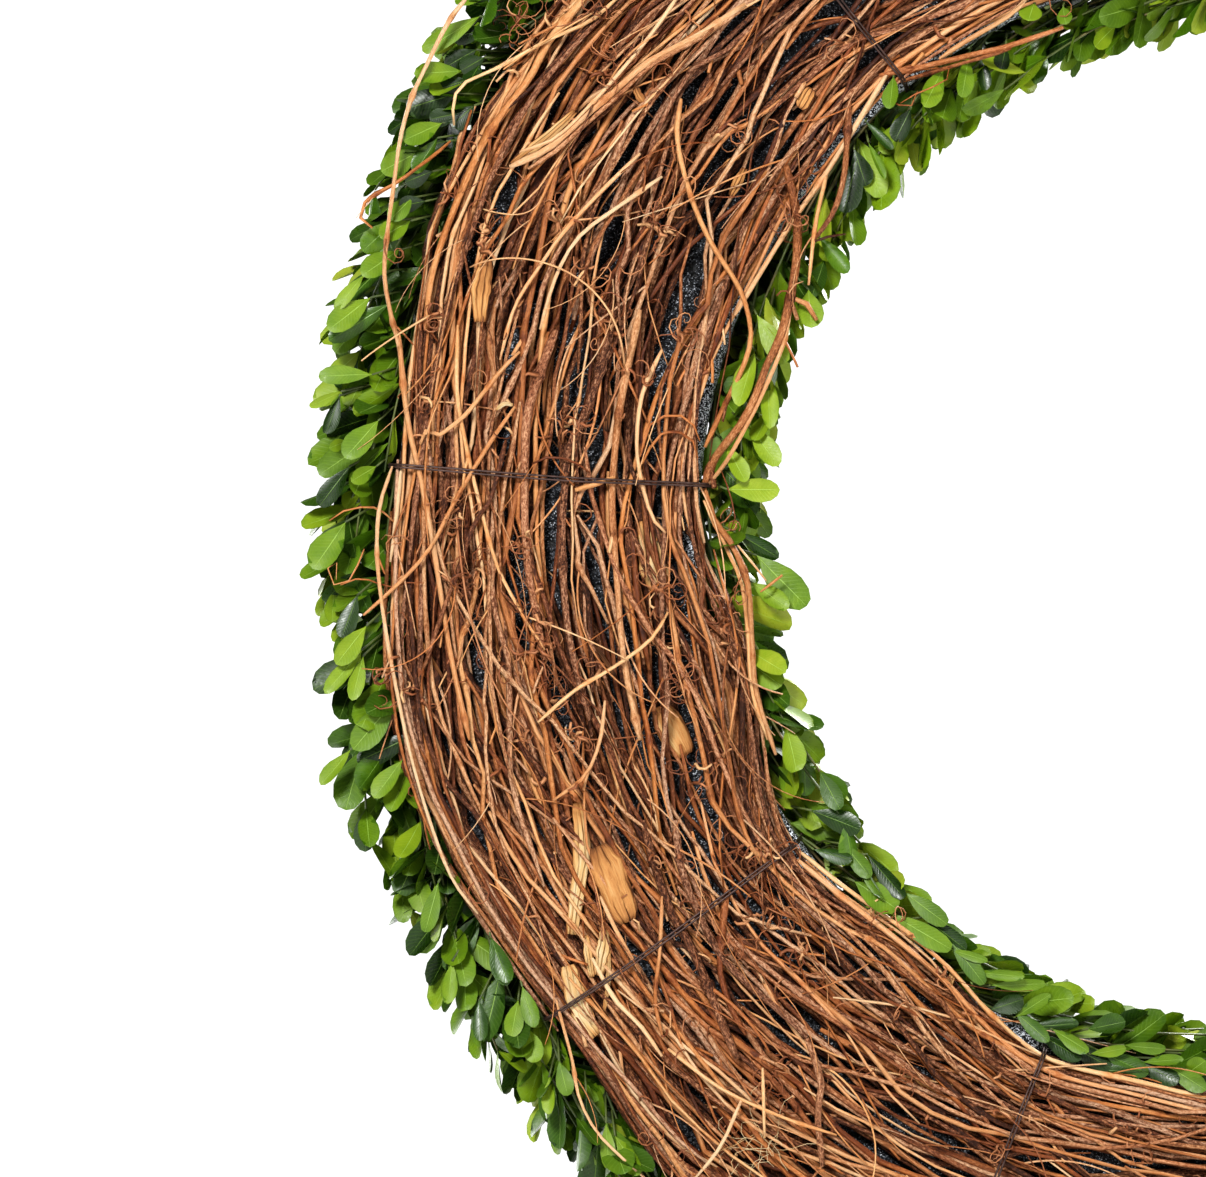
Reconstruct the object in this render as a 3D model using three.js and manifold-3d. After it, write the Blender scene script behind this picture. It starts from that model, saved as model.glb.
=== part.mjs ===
// A hanging boxwood wreath: a foam ring, loose bundles of vine bound to its back by wire, and
// leafy boxwood sprigs pushed into its front, all swept one way round the ring.
// Millimetres, +Z up. The leafy front faces -Y and the vine back +Y. The origin is the hook seat,
// the top of the ring's hole, where a door hook or a nail carries the wreath. The pieces are made
// about the ring's middle, and their group hangs below the origin.

import * as THREE from "three";
import { mergeVertices } from "three/addons/utils/BufferGeometryUtils.js";
import Module from "manifold-3d";

// Foam ring: a flat back and a rounded front.
const FOAM_INNER = 178;
const FOAM_OUTER = 276;
const FOAM_BACK = -10;
const FOAM_SHOULDER = -20;
const FOAM_FRONT = -42;
const FOAM_STEPS = 36;
const FOAM_ARC = [180, 144, 108, 72, 36, 0]; // corners of the rounded front, in degrees

// How far the leaves may reach, from the ring's middle and out of its front.
const REACH_OUTER = 307;
const REACH_INNER = 155;
const REACH_FRONT = -98;

// Binding wires: where each one crosses the ring, in degrees from +X towards +Z.
const WIRE_ANGLES = [51, 3.5, -35, -68, -108, -148, -188, -229, -269];
const WIRE_WIDTH = 2.2;
const WIRE_BACK = 2.4;
const WIRE_SHOULDER = 0.2;
const WIRE_SLOPE = 8;

// Vines: lanes side by side across the ring's back, bound at each wire and loose between wires.
const LANES = 9;
const LANE_WIDTH = 7.8;
const LANE_INSET = 1.5;
const LANE_RAISE = 2.4;
const LANE_SWAY = 2.6;
const LANE_RAGGED = 5; // how far the ends wander, in degrees
const LANE_PARTING = 0.35; // half the gap from end to end, in degrees
const CROWN = 2;
const BULGE_IN = 12;
const BULGE_OUT = 7;
const BULGE_BACK = 2.2;
const RUNNER_WIDTH = 3.6;
const RUNNER_SINK = 0.4;
const RUNNER_STEPS = 4;
const RUNNER_SPAN = [0.3, 0.08]; // from the hole to the rim, in shares of the way to the next wire

// Sprigs: rows round the ring's front. "section" is the place on the ring's cross-section, in
// degrees from straight outwards, and "drift" how far the stem wanders along it.
const ROWS = [
  { name: "outer", count: 14, section: 26, drift: 18, phase: 4, reach: 1.12 },
  { name: "front", count: 12, section: 88, drift: -6, phase: 17, reach: 1.1 },
  { name: "inner", count: 11, section: 152, drift: -16, phase: 9, reach: 1.12 },
];
const STEM_WIDTH = 2.2;
const STEM_DEPTH = 12;
const STEM_FREE = 8;
const STEM_STATIONS = [0.36, 0.68, 1];
const STEM_RISE = [0.16, 0.5];
const HOLE_WIDTH = 3.8;
const HOLE_MOUTH = 6;
const WIRE_CLEARANCE = 3; // from a wire to the nearest stem's hole, in degrees
const LEAF_PAIRS = 4;
const LEAF_SPAN = [0.34, 0.93]; // first and last pair, in shares of the stem
const LEAF_LENGTH = 47;
const LEAF_WIDTH = 30;
const LEAF_KEEL = 1.5;
const LEAF_DROOP = 0.1;
const LEAF_OPEN = 52; // from the stem's direction, in degrees
const LEAF_LIFT = 22; // out of the foliage, in degrees
const LEAF_STATIONS = [[0.4, 0.84], [0.8, 0.92]]; // share of the length, share of the width
const LEAF_TRIES = [[0, 1], [14, 1], [-12, 1], [28, 0.9], [42, 0.8], [-22, 0.7]]; // bend, size
const LEAF_MARGIN = 1.2;

const GAP = 0.3; // between touching pieces
const RING_MIDDLE = (FOAM_INNER + FOAM_OUTER) / 2;
const SEED = 20;

const FINISHES = {
  foam: { color: 0x14151a, roughness: 0.35, metalness: 0 },
  vine: { color: 0x9c5f38, roughness: 0.75, metalness: 0 },
  wire: { color: 0x3d2a24, roughness: 0.5, metalness: 0.6 },
  leaf: { color: 0x4c8a1e, roughness: 0.5, metalness: 0 },
};

const wasm = await Module();
wasm.setup();

const radians = THREE.MathUtils.degToRad;
const lerp = THREE.MathUtils.lerp;
const vec = (x, y, z) => new THREE.Vector3(x, y, z);
const BACKWARD = vec(0, 1, 0);

// Seeded random draws, even between -1 and 1.
function draws(seed) {
  let state = seed;
  return () => {
    state = (Math.imul(state, 1664525) + 1013904223) >>> 0;
    return state / 2 ** 31 - 1;
  };
}

// Ring coordinates: angle round the ring in degrees, distance from its middle, and depth along Y.
function onRing(angle, radius, y) {
  const a = radians(angle);
  return vec(radius * Math.cos(a), y, radius * Math.sin(a));
}

// Closed geometry to solid, and back.
function solidOf(geometry) {
  const bare = new THREE.BufferGeometry().setAttribute("position", geometry.getAttribute("position"));
  bare.setIndex(geometry.index);
  const merged = mergeVertices(bare, 1e-4);
  return new wasm.Manifold(
    new wasm.Mesh({
      numProp: 3,
      vertProperties: new Float32Array(merged.attributes.position.array),
      triVerts: new Uint32Array(merged.index.array),
    }),
  );
}

function geometryOf(solid) {
  const mesh = solid.getMesh();
  const geometry = new THREE.BufferGeometry();
  geometry.setAttribute("position", new THREE.BufferAttribute(mesh.vertProperties, 3));
  geometry.setIndex(new THREE.BufferAttribute(mesh.triVerts, 1));
  geometry.computeVertexNormals();
  return geometry;
}

// A square rod through a list of points, its first side facing "up" and carried along from there.
function rod(points, width, up) {
  const corners = [];
  let upward = up.clone();
  points.forEach((point, i) => {
    const before = points[Math.max(i - 1, 0)];
    const after = points[Math.min(i + 1, points.length - 1)];
    const tangent = after.clone().sub(before).normalize();
    const side = tangent.clone().cross(upward).normalize();
    upward = side.clone().cross(tangent);
    for (const [across, over] of [[1, 1], [-1, 1], [-1, -1], [1, -1]]) {
      const corner = point.clone().addScaledVector(side, (across * width) / 2);
      corners.push(corner.addScaledVector(upward, (over * width) / 2));
    }
  });
  const end = corners.length - 4;
  const faces = [0, 1, 2, 0, 2, 3, end, end + 2, end + 1, end, end + 3, end + 2];
  for (let ring = 0; ring < end; ring += 4) {
    for (let i = 0; i < 4; i++) {
      const next = (i + 1) % 4;
      faces.push(ring + i, ring + 4 + i, ring + next);
      faces.push(ring + 4 + i, ring + 4 + next, ring + next);
    }
  }
  const geometry = new THREE.BufferGeometry().setFromPoints(corners);
  geometry.setIndex(faces);
  return solidOf(geometry);
}

// How far an angle is from its wire: 0 at a wire, 1 midway between two.
function bulge(angle) {
  for (let i = 0; i < WIRE_ANGLES.length; i++) {
    const from = WIRE_ANGLES[i];
    const to = WIRE_ANGLES[i + 1] ?? WIRE_ANGLES[0] - 360;
    for (const turned of [angle, angle - 360, angle + 360]) {
      if (turned <= from && turned >= to) {
        return Math.sin((Math.PI * (from - turned)) / (from - to)) ** 2;
      }
    }
  }
  return 0;
}

// Foam ring

// The rounded front of a section from "inner" outwards, "proud" of the foam's surface.
function foamFront(inner, proud) {
  const middle = (inner + FOAM_OUTER) / 2;
  const half = (FOAM_OUTER - inner) / 2 + proud;
  return FOAM_ARC.map((turn) => {
    const a = radians(turn);
    const y = lerp(FOAM_SHOULDER, FOAM_FRONT - proud, Math.sin(a));
    return new THREE.Vector2(middle + half * Math.cos(a), y);
  });
}

function foamSolid(holes) {
  const back = new THREE.Vector2(FOAM_INNER, FOAM_BACK);
  const rim = new THREE.Vector2(FOAM_OUTER, FOAM_BACK);
  const profile = [back, ...foamFront(FOAM_INNER, 0), rim, back.clone()];
  return solidOf(new THREE.LatheGeometry(profile, FOAM_STEPS)).subtract(wasm.Manifold.union(holes));
}

// A place over the foam's front: "rise" is 0 at the foam and 1 at the leaves' full reach.
function overFoam(angle, section, rise) {
  const a = radians(section);
  const reach = Math.cos(a) > 0 ? REACH_OUTER - RING_MIDDLE : RING_MIDDLE - REACH_INNER;
  const radial = RING_MIDDLE + lerp(FOAM_OUTER - RING_MIDDLE, reach, rise) * Math.cos(a);
  const depth = lerp(FOAM_SHOULDER - FOAM_FRONT, FOAM_SHOULDER - REACH_FRONT, rise);
  return onRing(angle, radial, FOAM_SHOULDER - depth * Math.sin(a));
}

// Vines

// The crown of the lanes' backs: higher at the ring's middle, and higher between wires.
function crown(across, loose) {
  return Math.sin(Math.PI * across) * (CROWN + BULGE_BACK * loose);
}

// The centre line of a lane. Every other lane lies higher, and the lanes sway apart and together
// on either side of each wire.
function laneAt(lane, angle) {
  const loose = bulge(angle);
  const across = lane / (LANES - 1);
  const edge = LANE_INSET + LANE_WIDTH / 2;
  const inner = FOAM_INNER + edge - BULGE_IN * loose;
  const outer = FOAM_OUTER - edge + BULGE_OUT * loose;
  const swing = Math.sin(radians(angle * 4.5 + (lane % 2) * 180 + lane * 23));
  const sway = LANE_SWAY * swing * 4 * loose * (1 - loose) * Math.sin(Math.PI * across);
  const raise = (lane % 2) * (LANE_RAISE + loose);
  const y = FOAM_BACK + GAP + LANE_WIDTH / 2 + raise + crown(across, loose);
  return onRing(angle, lerp(inner, outer, across) + sway, y);
}

// One bundle: the lanes held by one wire, with ragged ends halfway to the next wires, tied
// together by a runner that crosses them.
function bundleSolid(number) {
  const wire = WIRE_ANGLES[number];
  const before = WIRE_ANGLES[number - 1] ?? WIRE_ANGLES.at(-1) + 360;
  const after = WIRE_ANGLES[number + 1] ?? WIRE_ANGLES[0] - 360;
  const ragged = (lane, boundary) => LANE_RAGGED * Math.sin(lane * 2.4 + boundary * 1.7);
  const rods = [];
  for (let lane = 0; lane < LANES; lane++) {
    const start = (wire + before) / 2 + ragged(lane, number || WIRE_ANGLES.length) - LANE_PARTING;
    const end = (wire + after) / 2 + ragged(lane, number + 1) + LANE_PARTING;
    const angles = [start, (start + wire) / 2, wire, (wire + end) / 2, end];
    rods.push(rod(angles.map((angle) => laneAt(lane, angle)), LANE_WIDTH, BACKWARD));
  }
  rods.push(runnerSolid(wire, (before - after) / 2, number % 2 ? 1 : -1));
  return wasm.Manifold.union(rods);
}

// A thin vine slanting over the lanes on one side of a wire, sunk into the low lanes.
function runnerSolid(wire, span, side) {
  const points = [];
  for (let i = 0; i <= RUNNER_STEPS; i++) {
    const across = i / RUNNER_STEPS;
    const angle = wire + side * span * lerp(...RUNNER_SPAN, across);
    const place = laneAt(lerp(0, LANES - 1, across), angle);
    const lanesTop = FOAM_BACK + LANE_WIDTH + crown(across, bulge(angle));
    place.y = lanesTop + RUNNER_WIDTH / 2 - RUNNER_SINK;
    points.push(place);
  }
  return rod(points, RUNNER_WIDTH, BACKWARD);
}

// Binding wires: closed loops drawn tight round the foam and the vines.
function wireOutline(proud) {
  const hole = FOAM_INNER * Math.cos(Math.PI / FOAM_STEPS); // the flats of the hole
  const back = WIRE_BACK + proud;
  return [
    ...foamFront(hole, proud),
    new THREE.Vector2(FOAM_OUTER + proud, WIRE_SHOULDER),
    new THREE.Vector2(FOAM_OUTER - WIRE_SLOPE, back),
    new THREE.Vector2(FOAM_INNER + WIRE_SLOPE, back),
    new THREE.Vector2(hole - proud, WIRE_SHOULDER),
  ];
}

function wireSolid(number) {
  const loop = new THREE.Shape(wireOutline(GAP + WIRE_WIDTH));
  loop.holes.push(new THREE.Path(wireOutline(GAP)));
  const strip = new THREE.ExtrudeGeometry(loop, { depth: WIRE_WIDTH, bevelEnabled: false });
  strip.translate(0, 0, -WIRE_WIDTH / 2).rotateY(-radians(WIRE_ANGLES[number]));
  return solidOf(strip);
}

// Boxwood

// The corners of a leaf: wide near its end, keeled under its rib and drooping, from a sharp foot.
function leafCorners(foot, along, up, length, width, keel) {
  const side = up.clone().cross(along).normalize();
  const top = along.clone().cross(side).normalize();
  const place = (t, across, height) =>
    foot
      .clone()
      .addScaledVector(along, t * length)
      .addScaledVector(side, across)
      .addScaledVector(top, height - LEAF_DROOP * length * t * t);
  const corners = [foot.clone()];
  for (const [t, share] of LEAF_STATIONS) {
    const half = (share * width) / 2;
    corners.push(place(t, half, 0), place(t, -half, 0), place(t, 0, -keel));
  }
  corners.push(place(1, 0, -keel / 4));
  return corners;
}

function leafSolid(corners) {
  const faces = [];
  for (let i = 0; i < 3; i++) {
    const next = (i + 1) % 3;
    faces.push(0, 1 + next, 1 + i);
    faces.push(1 + i, 1 + next, 4 + i);
    faces.push(4 + i, 1 + next, 4 + next);
    faces.push(7, 4 + i, 4 + next);
  }
  const geometry = new THREE.BufferGeometry().setFromPoints(corners);
  geometry.setIndex(faces);
  return solidOf(geometry);
}

function withinReach(point) {
  const radius = Math.hypot(point.x, point.z);
  return radius > REACH_INNER && radius < REACH_OUTER && point.y > REACH_FRONT;
}

// An angle moved on along the sweep, where it lies too near a wire.
function clearOfWires(angle) {
  for (const wire of WIRE_ANGLES) {
    const from = THREE.MathUtils.euclideanModulo(angle - wire + 180, 360) - 180;
    if (Math.abs(from) < WIRE_CLEARANCE) return angle - from - WIRE_CLEARANCE;
  }
  return angle;
}

// The path of one stem: straight out of its hole, then lying over the foam along the sweep.
function stemPath(row, number) {
  const draw = draws(SEED + number * 97 + Math.round(row.section) * 13);
  const spacing = 360 / row.count;
  const angle = clearOfWires(row.phase - number * spacing + draw() * 1.2);
  const section = row.section + draw() * 4;
  const entry = overFoam(angle, section, 0);
  const out = overFoam(angle, section, 1).sub(entry).normalize();
  const onward = overFoam(angle - 1, section, 0).sub(entry).normalize();
  const lean = out.clone().multiplyScalar(0.8).add(onward.clone().multiplyScalar(0.6)).normalize();
  const root = entry.clone().addScaledVector(lean, -STEM_DEPTH);
  const free = entry.clone().addScaledVector(lean, STEM_FREE);
  const points = [root, free];
  for (const along of STEM_STATIONS) {
    const rise = lerp(...STEM_RISE, along) + 0.04 * draw();
    points.push(overFoam(angle - spacing * row.reach * along, section + row.drift * along, rise));
  }
  return { root, lean, points, draw, side: out.cross(onward) };
}

function stemSolid(path) {
  return rod(path.points, STEM_WIDTH, path.side);
}

function holeSolid(path) {
  const length = GAP + STEM_DEPTH + HOLE_MOUTH;
  const bottom = path.root.clone().addScaledVector(path.lean, -GAP);
  const top = bottom.clone().addScaledVector(path.lean, length);
  return rod([bottom, top], HOLE_WIDTH, path.side);
}

// Where a stem lies and runs, a share of the way along it, and the way out of the ring there.
function alongStem(path, share) {
  const curve = new THREE.CurvePath();
  for (let i = 1; i < path.points.length; i++) {
    curve.add(new THREE.LineCurve3(path.points[i - 1], path.points[i]));
  }
  const foot = curve.getPointAt(share);
  const onward = curve.getTangentAt(share);
  const core = vec(foot.x, 0, foot.z).setLength(RING_MIDDLE).setY((FOAM_BACK + FOAM_SHOULDER) / 2);
  const out = foot.clone().sub(core);
  out.addScaledVector(onward, -out.dot(onward)).normalize();
  return { foot, onward, out };
}

// The leaves of one sprig, in pairs along its stem and one at its tip. Each is bent up, and then
// shortened, until it is clear of the neighbours.
function leafSolids(path, neighbours) {
  const places = [];
  for (let pair = 0; pair < LEAF_PAIRS; pair++) {
    const share = lerp(...LEAF_SPAN, pair / (LEAF_PAIRS - 1));
    places.push([share, -1], [share, 1]);
  }
  places.push([0.985, 0]);
  const leaves = [];
  for (const [share, hand] of places) {
    const { foot, onward, out } = alongStem(path, share);
    const across = out.clone().cross(onward).normalize();
    const open = radians(hand ? LEAF_OPEN + 8 * path.draw() : 4);
    const lift = LEAF_LIFT + 14 * path.draw();
    const size = 1 + 0.12 * path.draw();
    for (const [bend, shrink] of LEAF_TRIES) {
      const up = radians(lift + bend);
      const sideways = across.clone().multiplyScalar(hand * Math.cos(up));
      sideways.addScaledVector(out, Math.sin(up)).multiplyScalar(Math.sin(open));
      const along = onward.clone().multiplyScalar(Math.cos(open)).add(sideways).normalize();
      const length = LEAF_LENGTH * size * shrink;
      const width = LEAF_WIDTH * size * Math.sqrt(shrink);
      const leaf = leafCorners(foot, along, out, length, width, LEAF_KEEL);
      const guard = leafSolid(
        leafCorners(foot, along, out, length + LEAF_MARGIN, width + LEAF_MARGIN, LEAF_KEEL + LEAF_MARGIN),
      );
      const clear = neighbours.every((other) => other.intersect(guard).isEmpty());
      if (clear && leaf.every(withinReach)) {
        leaves.push(leafSolid(leaf));
        break;
      }
    }
  }
  return leaves;
}

// Assembly

const wreath = new THREE.Group();
const ring = new THREE.Group();
ring.position.z = -FOAM_INNER;
wreath.add(ring);

function place(name, solid, finish) {
  const mesh = new THREE.Mesh(geometryOf(solid), new THREE.MeshStandardMaterial(finish));
  mesh.name = name;
  ring.add(mesh);
}

const stems = ROWS.flatMap((row) =>
  Array.from({ length: row.count }, (_, i) => {
    const path = stemPath(row, i);
    return { name: `boxwood_${row.name}_${i + 1}`, path, solid: stemSolid(path) };
  }),
);
const foam = foamSolid(stems.map((stem) => holeSolid(stem.path)));
const bundles = WIRE_ANGLES.map((_, i) => bundleSolid(i));
const wires = WIRE_ANGLES.map((_, i) => wireSolid(i));

for (const stem of stems) {
  const others = stems.filter((other) => other !== stem).map((other) => other.solid);
  const leaves = leafSolids(stem.path, [foam, ...bundles, ...wires, ...others]);
  stem.solid = wasm.Manifold.union([stem.solid, ...leaves]);
}

place("foam_ring", foam, FINISHES.foam);
bundles.forEach((solid, i) => place(`vine_bundle_${i + 1}`, solid, FINISHES.vine));
wires.forEach((solid, i) => place(`binding_wire_${i + 1}`, solid, FINISHES.wire));
stems.forEach((stem) => place(stem.name, stem.solid, FINISHES.leaf));

export default wreath;
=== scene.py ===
"""A hanging boxwood wreath, seen from behind: vines wired over a black foam ring, leaves beyond."""
import math
import random

import bpy
import numpy as np
from mathutils import Matrix, Vector, noise


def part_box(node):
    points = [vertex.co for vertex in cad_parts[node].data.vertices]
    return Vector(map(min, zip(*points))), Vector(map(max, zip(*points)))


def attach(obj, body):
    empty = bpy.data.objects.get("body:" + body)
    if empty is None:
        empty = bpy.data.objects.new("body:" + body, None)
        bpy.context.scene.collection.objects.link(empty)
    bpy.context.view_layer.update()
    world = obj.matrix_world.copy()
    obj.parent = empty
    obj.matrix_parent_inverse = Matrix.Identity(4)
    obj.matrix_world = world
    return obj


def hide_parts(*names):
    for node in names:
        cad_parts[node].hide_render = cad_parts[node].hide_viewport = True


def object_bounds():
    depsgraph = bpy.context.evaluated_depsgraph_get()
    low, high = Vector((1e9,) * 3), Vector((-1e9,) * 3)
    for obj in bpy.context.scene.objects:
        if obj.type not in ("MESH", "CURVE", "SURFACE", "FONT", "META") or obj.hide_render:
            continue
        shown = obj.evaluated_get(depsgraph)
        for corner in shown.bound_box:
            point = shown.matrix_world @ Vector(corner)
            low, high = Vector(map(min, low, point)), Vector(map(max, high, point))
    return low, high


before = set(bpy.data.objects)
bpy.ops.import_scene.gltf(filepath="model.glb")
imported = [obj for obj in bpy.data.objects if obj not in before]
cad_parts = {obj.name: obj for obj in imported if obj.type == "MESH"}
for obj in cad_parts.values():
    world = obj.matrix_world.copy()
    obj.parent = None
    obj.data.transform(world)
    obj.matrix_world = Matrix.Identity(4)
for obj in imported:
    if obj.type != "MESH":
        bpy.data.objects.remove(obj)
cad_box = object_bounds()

MM = 0.001

# The ring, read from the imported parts
foam_low, foam_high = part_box("foam_ring")
CENTRE = Vector(((foam_low[0] + foam_high[0]) / 2, 0, (foam_low[2] + foam_high[2]) / 2))
FOAM_OUTER = (foam_high[0] - foam_low[0]) / 2
FOAM_INNER = -CENTRE.z  # the origin is the top of the hole
FOAM_MIDDLE = (FOAM_INNER + FOAM_OUTER) / 2
FOAM_HALF = (FOAM_OUTER - FOAM_INNER) / 2
FOAM_BACK = foam_high[1]
FOAM_FRONT = foam_low[1]
# How far in front of its flat back the foam is widest, how round its back corners are, and the
# depth of its core
SHOULDER = 10 * MM
FOAM_SHOULDER = FOAM_BACK - SHOULDER
FOAM_CORNER = 3.5 * MM
FOAM_CORE = FOAM_BACK - 16 * MM

# The leaves' reach
REACH_OUTER = 308 * MM
REACH_INNER = 154.5 * MM
REACH_FRONT = cad_box[0][1]

# The vine mat, and its thickness at the wires and at its edges as shares of the thickness between
MAT_THICK = 15 * MM
MAT_PINCH = 0.66
EDGE_SHARE = 0.6
MAT_INNER = FOAM_INNER - 3 * MM
MAT_OUTER = FOAM_OUTER + 2 * MM
MAT_WIDTH = MAT_OUTER - MAT_INNER
# How far the mat bulges midway between two wires, into the hole and past the rim
BULGE_IN = 12 * MM
BULGE_OUT = 8 * MM
# How much of the inner bulge there is after each wire, anticlockwise, and how many mm each wire
# draws the mat's inner edge away from the hole
BULGE_SHARES = (0.2, 0.15, 1.0, 0.75, 0.05, 0.3, 1.0, 0.5, 0.8)
WIRE_PULLS = (5, 0, 5, 7.5, 0, 5, 2, 6, 3)
# The highest place on the mat, and the gap between pieces that touch
MAT_HIGHEST = 7.6 * MM
TOUCH = 0.3 * MM
# How far past the mat's edges a tendril may stray
STRAY = 13 * MM
# Where a vine runs that lies over the leaves, and how far past the mat's edge it takes to rise there
OVER_LEAVES = 4.6 * MM
RISE = 6 * MM

# The photograph, and where the ring's middle lies in it
PHOTO_SIZE = (1206, 1177)
PHOTO_MIDDLE = (1262, 520)
PHOTO_PIXEL = 0.318 * MM
# How far behind the wreath the camera stands, and its sensor's width in mm
CAMERA_DISTANCE = 1.6
SENSOR_WIDTH = 36

SEED = 11


def ring_point(angle, radius, depth):
    """A point at an angle round the ring in degrees, a distance from its middle, and a depth."""
    turn = math.radians(angle)
    return Vector((CENTRE.x + radius * math.cos(turn), depth, CENTRE.z + radius * math.sin(turn)))


def photo_point(pixel, depth=0.0):
    """The point which the photograph shows at a pixel, at a depth of its own."""
    across = (PHOTO_MIDDLE[0] - pixel[0]) * PHOTO_PIXEL
    up = (PHOTO_MIDDLE[1] - pixel[1]) * PHOTO_PIXEL
    return Vector((CENTRE.x + across, depth, CENTRE.z + up))


def ring_place(point):
    """The angle in degrees and the distance from the ring's middle of a point."""
    across, up = point[0] - CENTRE.x, point[2] - CENTRE.z
    return math.degrees(math.atan2(up, across)), math.hypot(across, up)


def pixel_place(pixel):
    """The angle in degrees and the distance from the ring's middle of a pixel."""
    return ring_place(photo_point(pixel))


def numbered(start):
    names = [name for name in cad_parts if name.startswith(start)]
    return sorted(names, key=lambda name: int(name.rsplit("_", 1)[1]))


def box_middle(node):
    low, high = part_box(node)
    return [(low[i] + high[i]) / 2 for i in range(3)]


WIRE_NODES = numbered("binding_wire_")
BUNDLE_NODES = numbered("vine_bundle_")
WIRE_ANGLES = [ring_place(box_middle(node))[0] for node in WIRE_NODES]


def turn_between(angle, other):
    """How far one angle is past another, from -180 to 180 degrees."""
    return (angle - other + 180) % 360 - 180


def looseness(angle):
    """0 at a binding wire, 1 midway between two."""
    past = [turn_between(angle, wire) for wire in WIRE_ANGLES]
    after = min((turn for turn in past if turn >= 0), default=0)
    before = max((turn for turn in past if turn < 0), default=-1)
    return math.sin(math.pi * after / (after - before)) ** 2


def lerp(low, high, share):
    return low + (high - low) * share


# Shader helpers


def add_node(tree, kind, **values):
    """A node with its settings."""
    made = tree.nodes.new(kind)
    for name, value in values.items():
        setattr(made, name, value)
    return made


def put_in(tree, socket, source):
    """Link an input to a source, or set it to a value. A colour may come as three numbers."""
    if isinstance(source, bpy.types.NodeSocket):
        tree.links.new(source, socket)
    elif socket.type == "RGBA" and len(source) == 3:
        socket.default_value = (*source, 1)
    else:
        socket.default_value = source


def feed(tree, target, **sources):
    """Link or set a node's inputs. An underscore in a name stands for a space."""
    for name, source in sources.items():
        put_in(tree, target.inputs[name.replace("_", " ")], source)


def attribute(tree, name, output="Fac"):
    return add_node(tree, "ShaderNodeAttribute", attribute_name=name).outputs[output]


def object_place(tree):
    return add_node(tree, "ShaderNodeTexCoord").outputs["Object"]


def calculate(tree, operation, *sources):
    made = add_node(tree, "ShaderNodeMath", operation=operation)
    for socket, source in zip(made.inputs, sources):
        put_in(tree, socket, source)
    return made.outputs[0]


def calculate_vector(tree, operation, *sources):
    made = add_node(tree, "ShaderNodeVectorMath", operation=operation)
    for socket, source in zip(made.inputs, sources):
        put_in(tree, socket, source)
    return made.outputs


def vary(tree, value, source, amount):
    """A value moved up and down by a source that lies round one half."""
    return calculate(tree, "MULTIPLY_ADD", calculate(tree, "SUBTRACT", source, 0.5), amount, value)


def split(tree, vector):
    """The outputs X, Y and Z of a vector."""
    made = add_node(tree, "ShaderNodeSeparateXYZ")
    feed(tree, made, Vector=vector)
    return made.outputs


def stretch(tree, source, low, high, to_low=0.0, to_high=1.0):
    """Map a value from one range to another, held at the ends."""
    made = add_node(tree, "ShaderNodeMapRange", clamp=True)
    feed(tree, made, Value=source, From_Min=low, From_Max=high, To_Min=to_low, To_Max=to_high)
    return made.outputs["Result"]


def scaled(tree, source, scale):
    return calculate_vector(tree, "MULTIPLY", source, scale)["Vector"]


def noise_at(tree, source, scale, detail=3.0, rough=0.55):
    made = add_node(tree, "ShaderNodeTexNoise")
    feed(tree, made, Vector=source, Scale=scale, Detail=detail, Roughness=rough)
    return made.outputs["Fac"]


def cells_at(tree, source, scale):
    made = add_node(tree, "ShaderNodeTexVoronoi", feature="F1")
    feed(tree, made, Vector=source, Scale=scale)
    return made.outputs


def ramp(tree, source, *stops):
    made = add_node(tree, "ShaderNodeValToRGB")
    elements = made.color_ramp.elements
    while len(elements) < len(stops):
        elements.new(0.5)
    for element, (place, colour) in zip(elements, stops):
        element.position = place
        element.color = (*colour, 1)
    tree.links.new(source, made.inputs["Fac"])
    return made.outputs["Color"]


def blend(tree, share, first, second, kind="MIX"):
    made = add_node(tree, "ShaderNodeMix", data_type="RGBA", blend_type=kind)
    for number, source in ((0, share), (6, first), (7, second)):
        put_in(tree, made.inputs[number], source)
    return made.outputs[2]


def set_surface(tree, shader, colour, rough, height, strength, depth, **others):
    """Give a shader its colour and roughness, and a height as bump."""
    made = add_node(tree, "ShaderNodeBump")
    feed(tree, made, Height=height, Strength=strength, Distance=depth)
    feed(tree, shader, Base_Color=colour, Roughness=rough, Normal=made.outputs["Normal"], **others)


def new_material(name):
    made = bpy.data.materials.new(name)
    made.use_nodes = True
    tree = made.node_tree
    return made, tree, tree.nodes["Principled BSDF"]


def new_group(name, inputs, outputs):
    """An empty shader group with its sockets, its input node and its output node."""
    group = bpy.data.node_groups.new(name, "ShaderNodeTree")
    for socket, kind in inputs.items():
        group.interface.new_socket(socket, in_out="INPUT", socket_type=kind)
    for socket, kind in outputs.items():
        group.interface.new_socket(socket, in_out="OUTPUT", socket_type=kind)
    return group, group.nodes.new("NodeGroupInput"), group.nodes.new("NodeGroupOutput")


def place_group(tree, group, **sources):
    made = add_node(tree, "ShaderNodeGroup", node_tree=group)
    feed(tree, made, **sources)
    return made.outputs


# Effects that several finishes share


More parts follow.
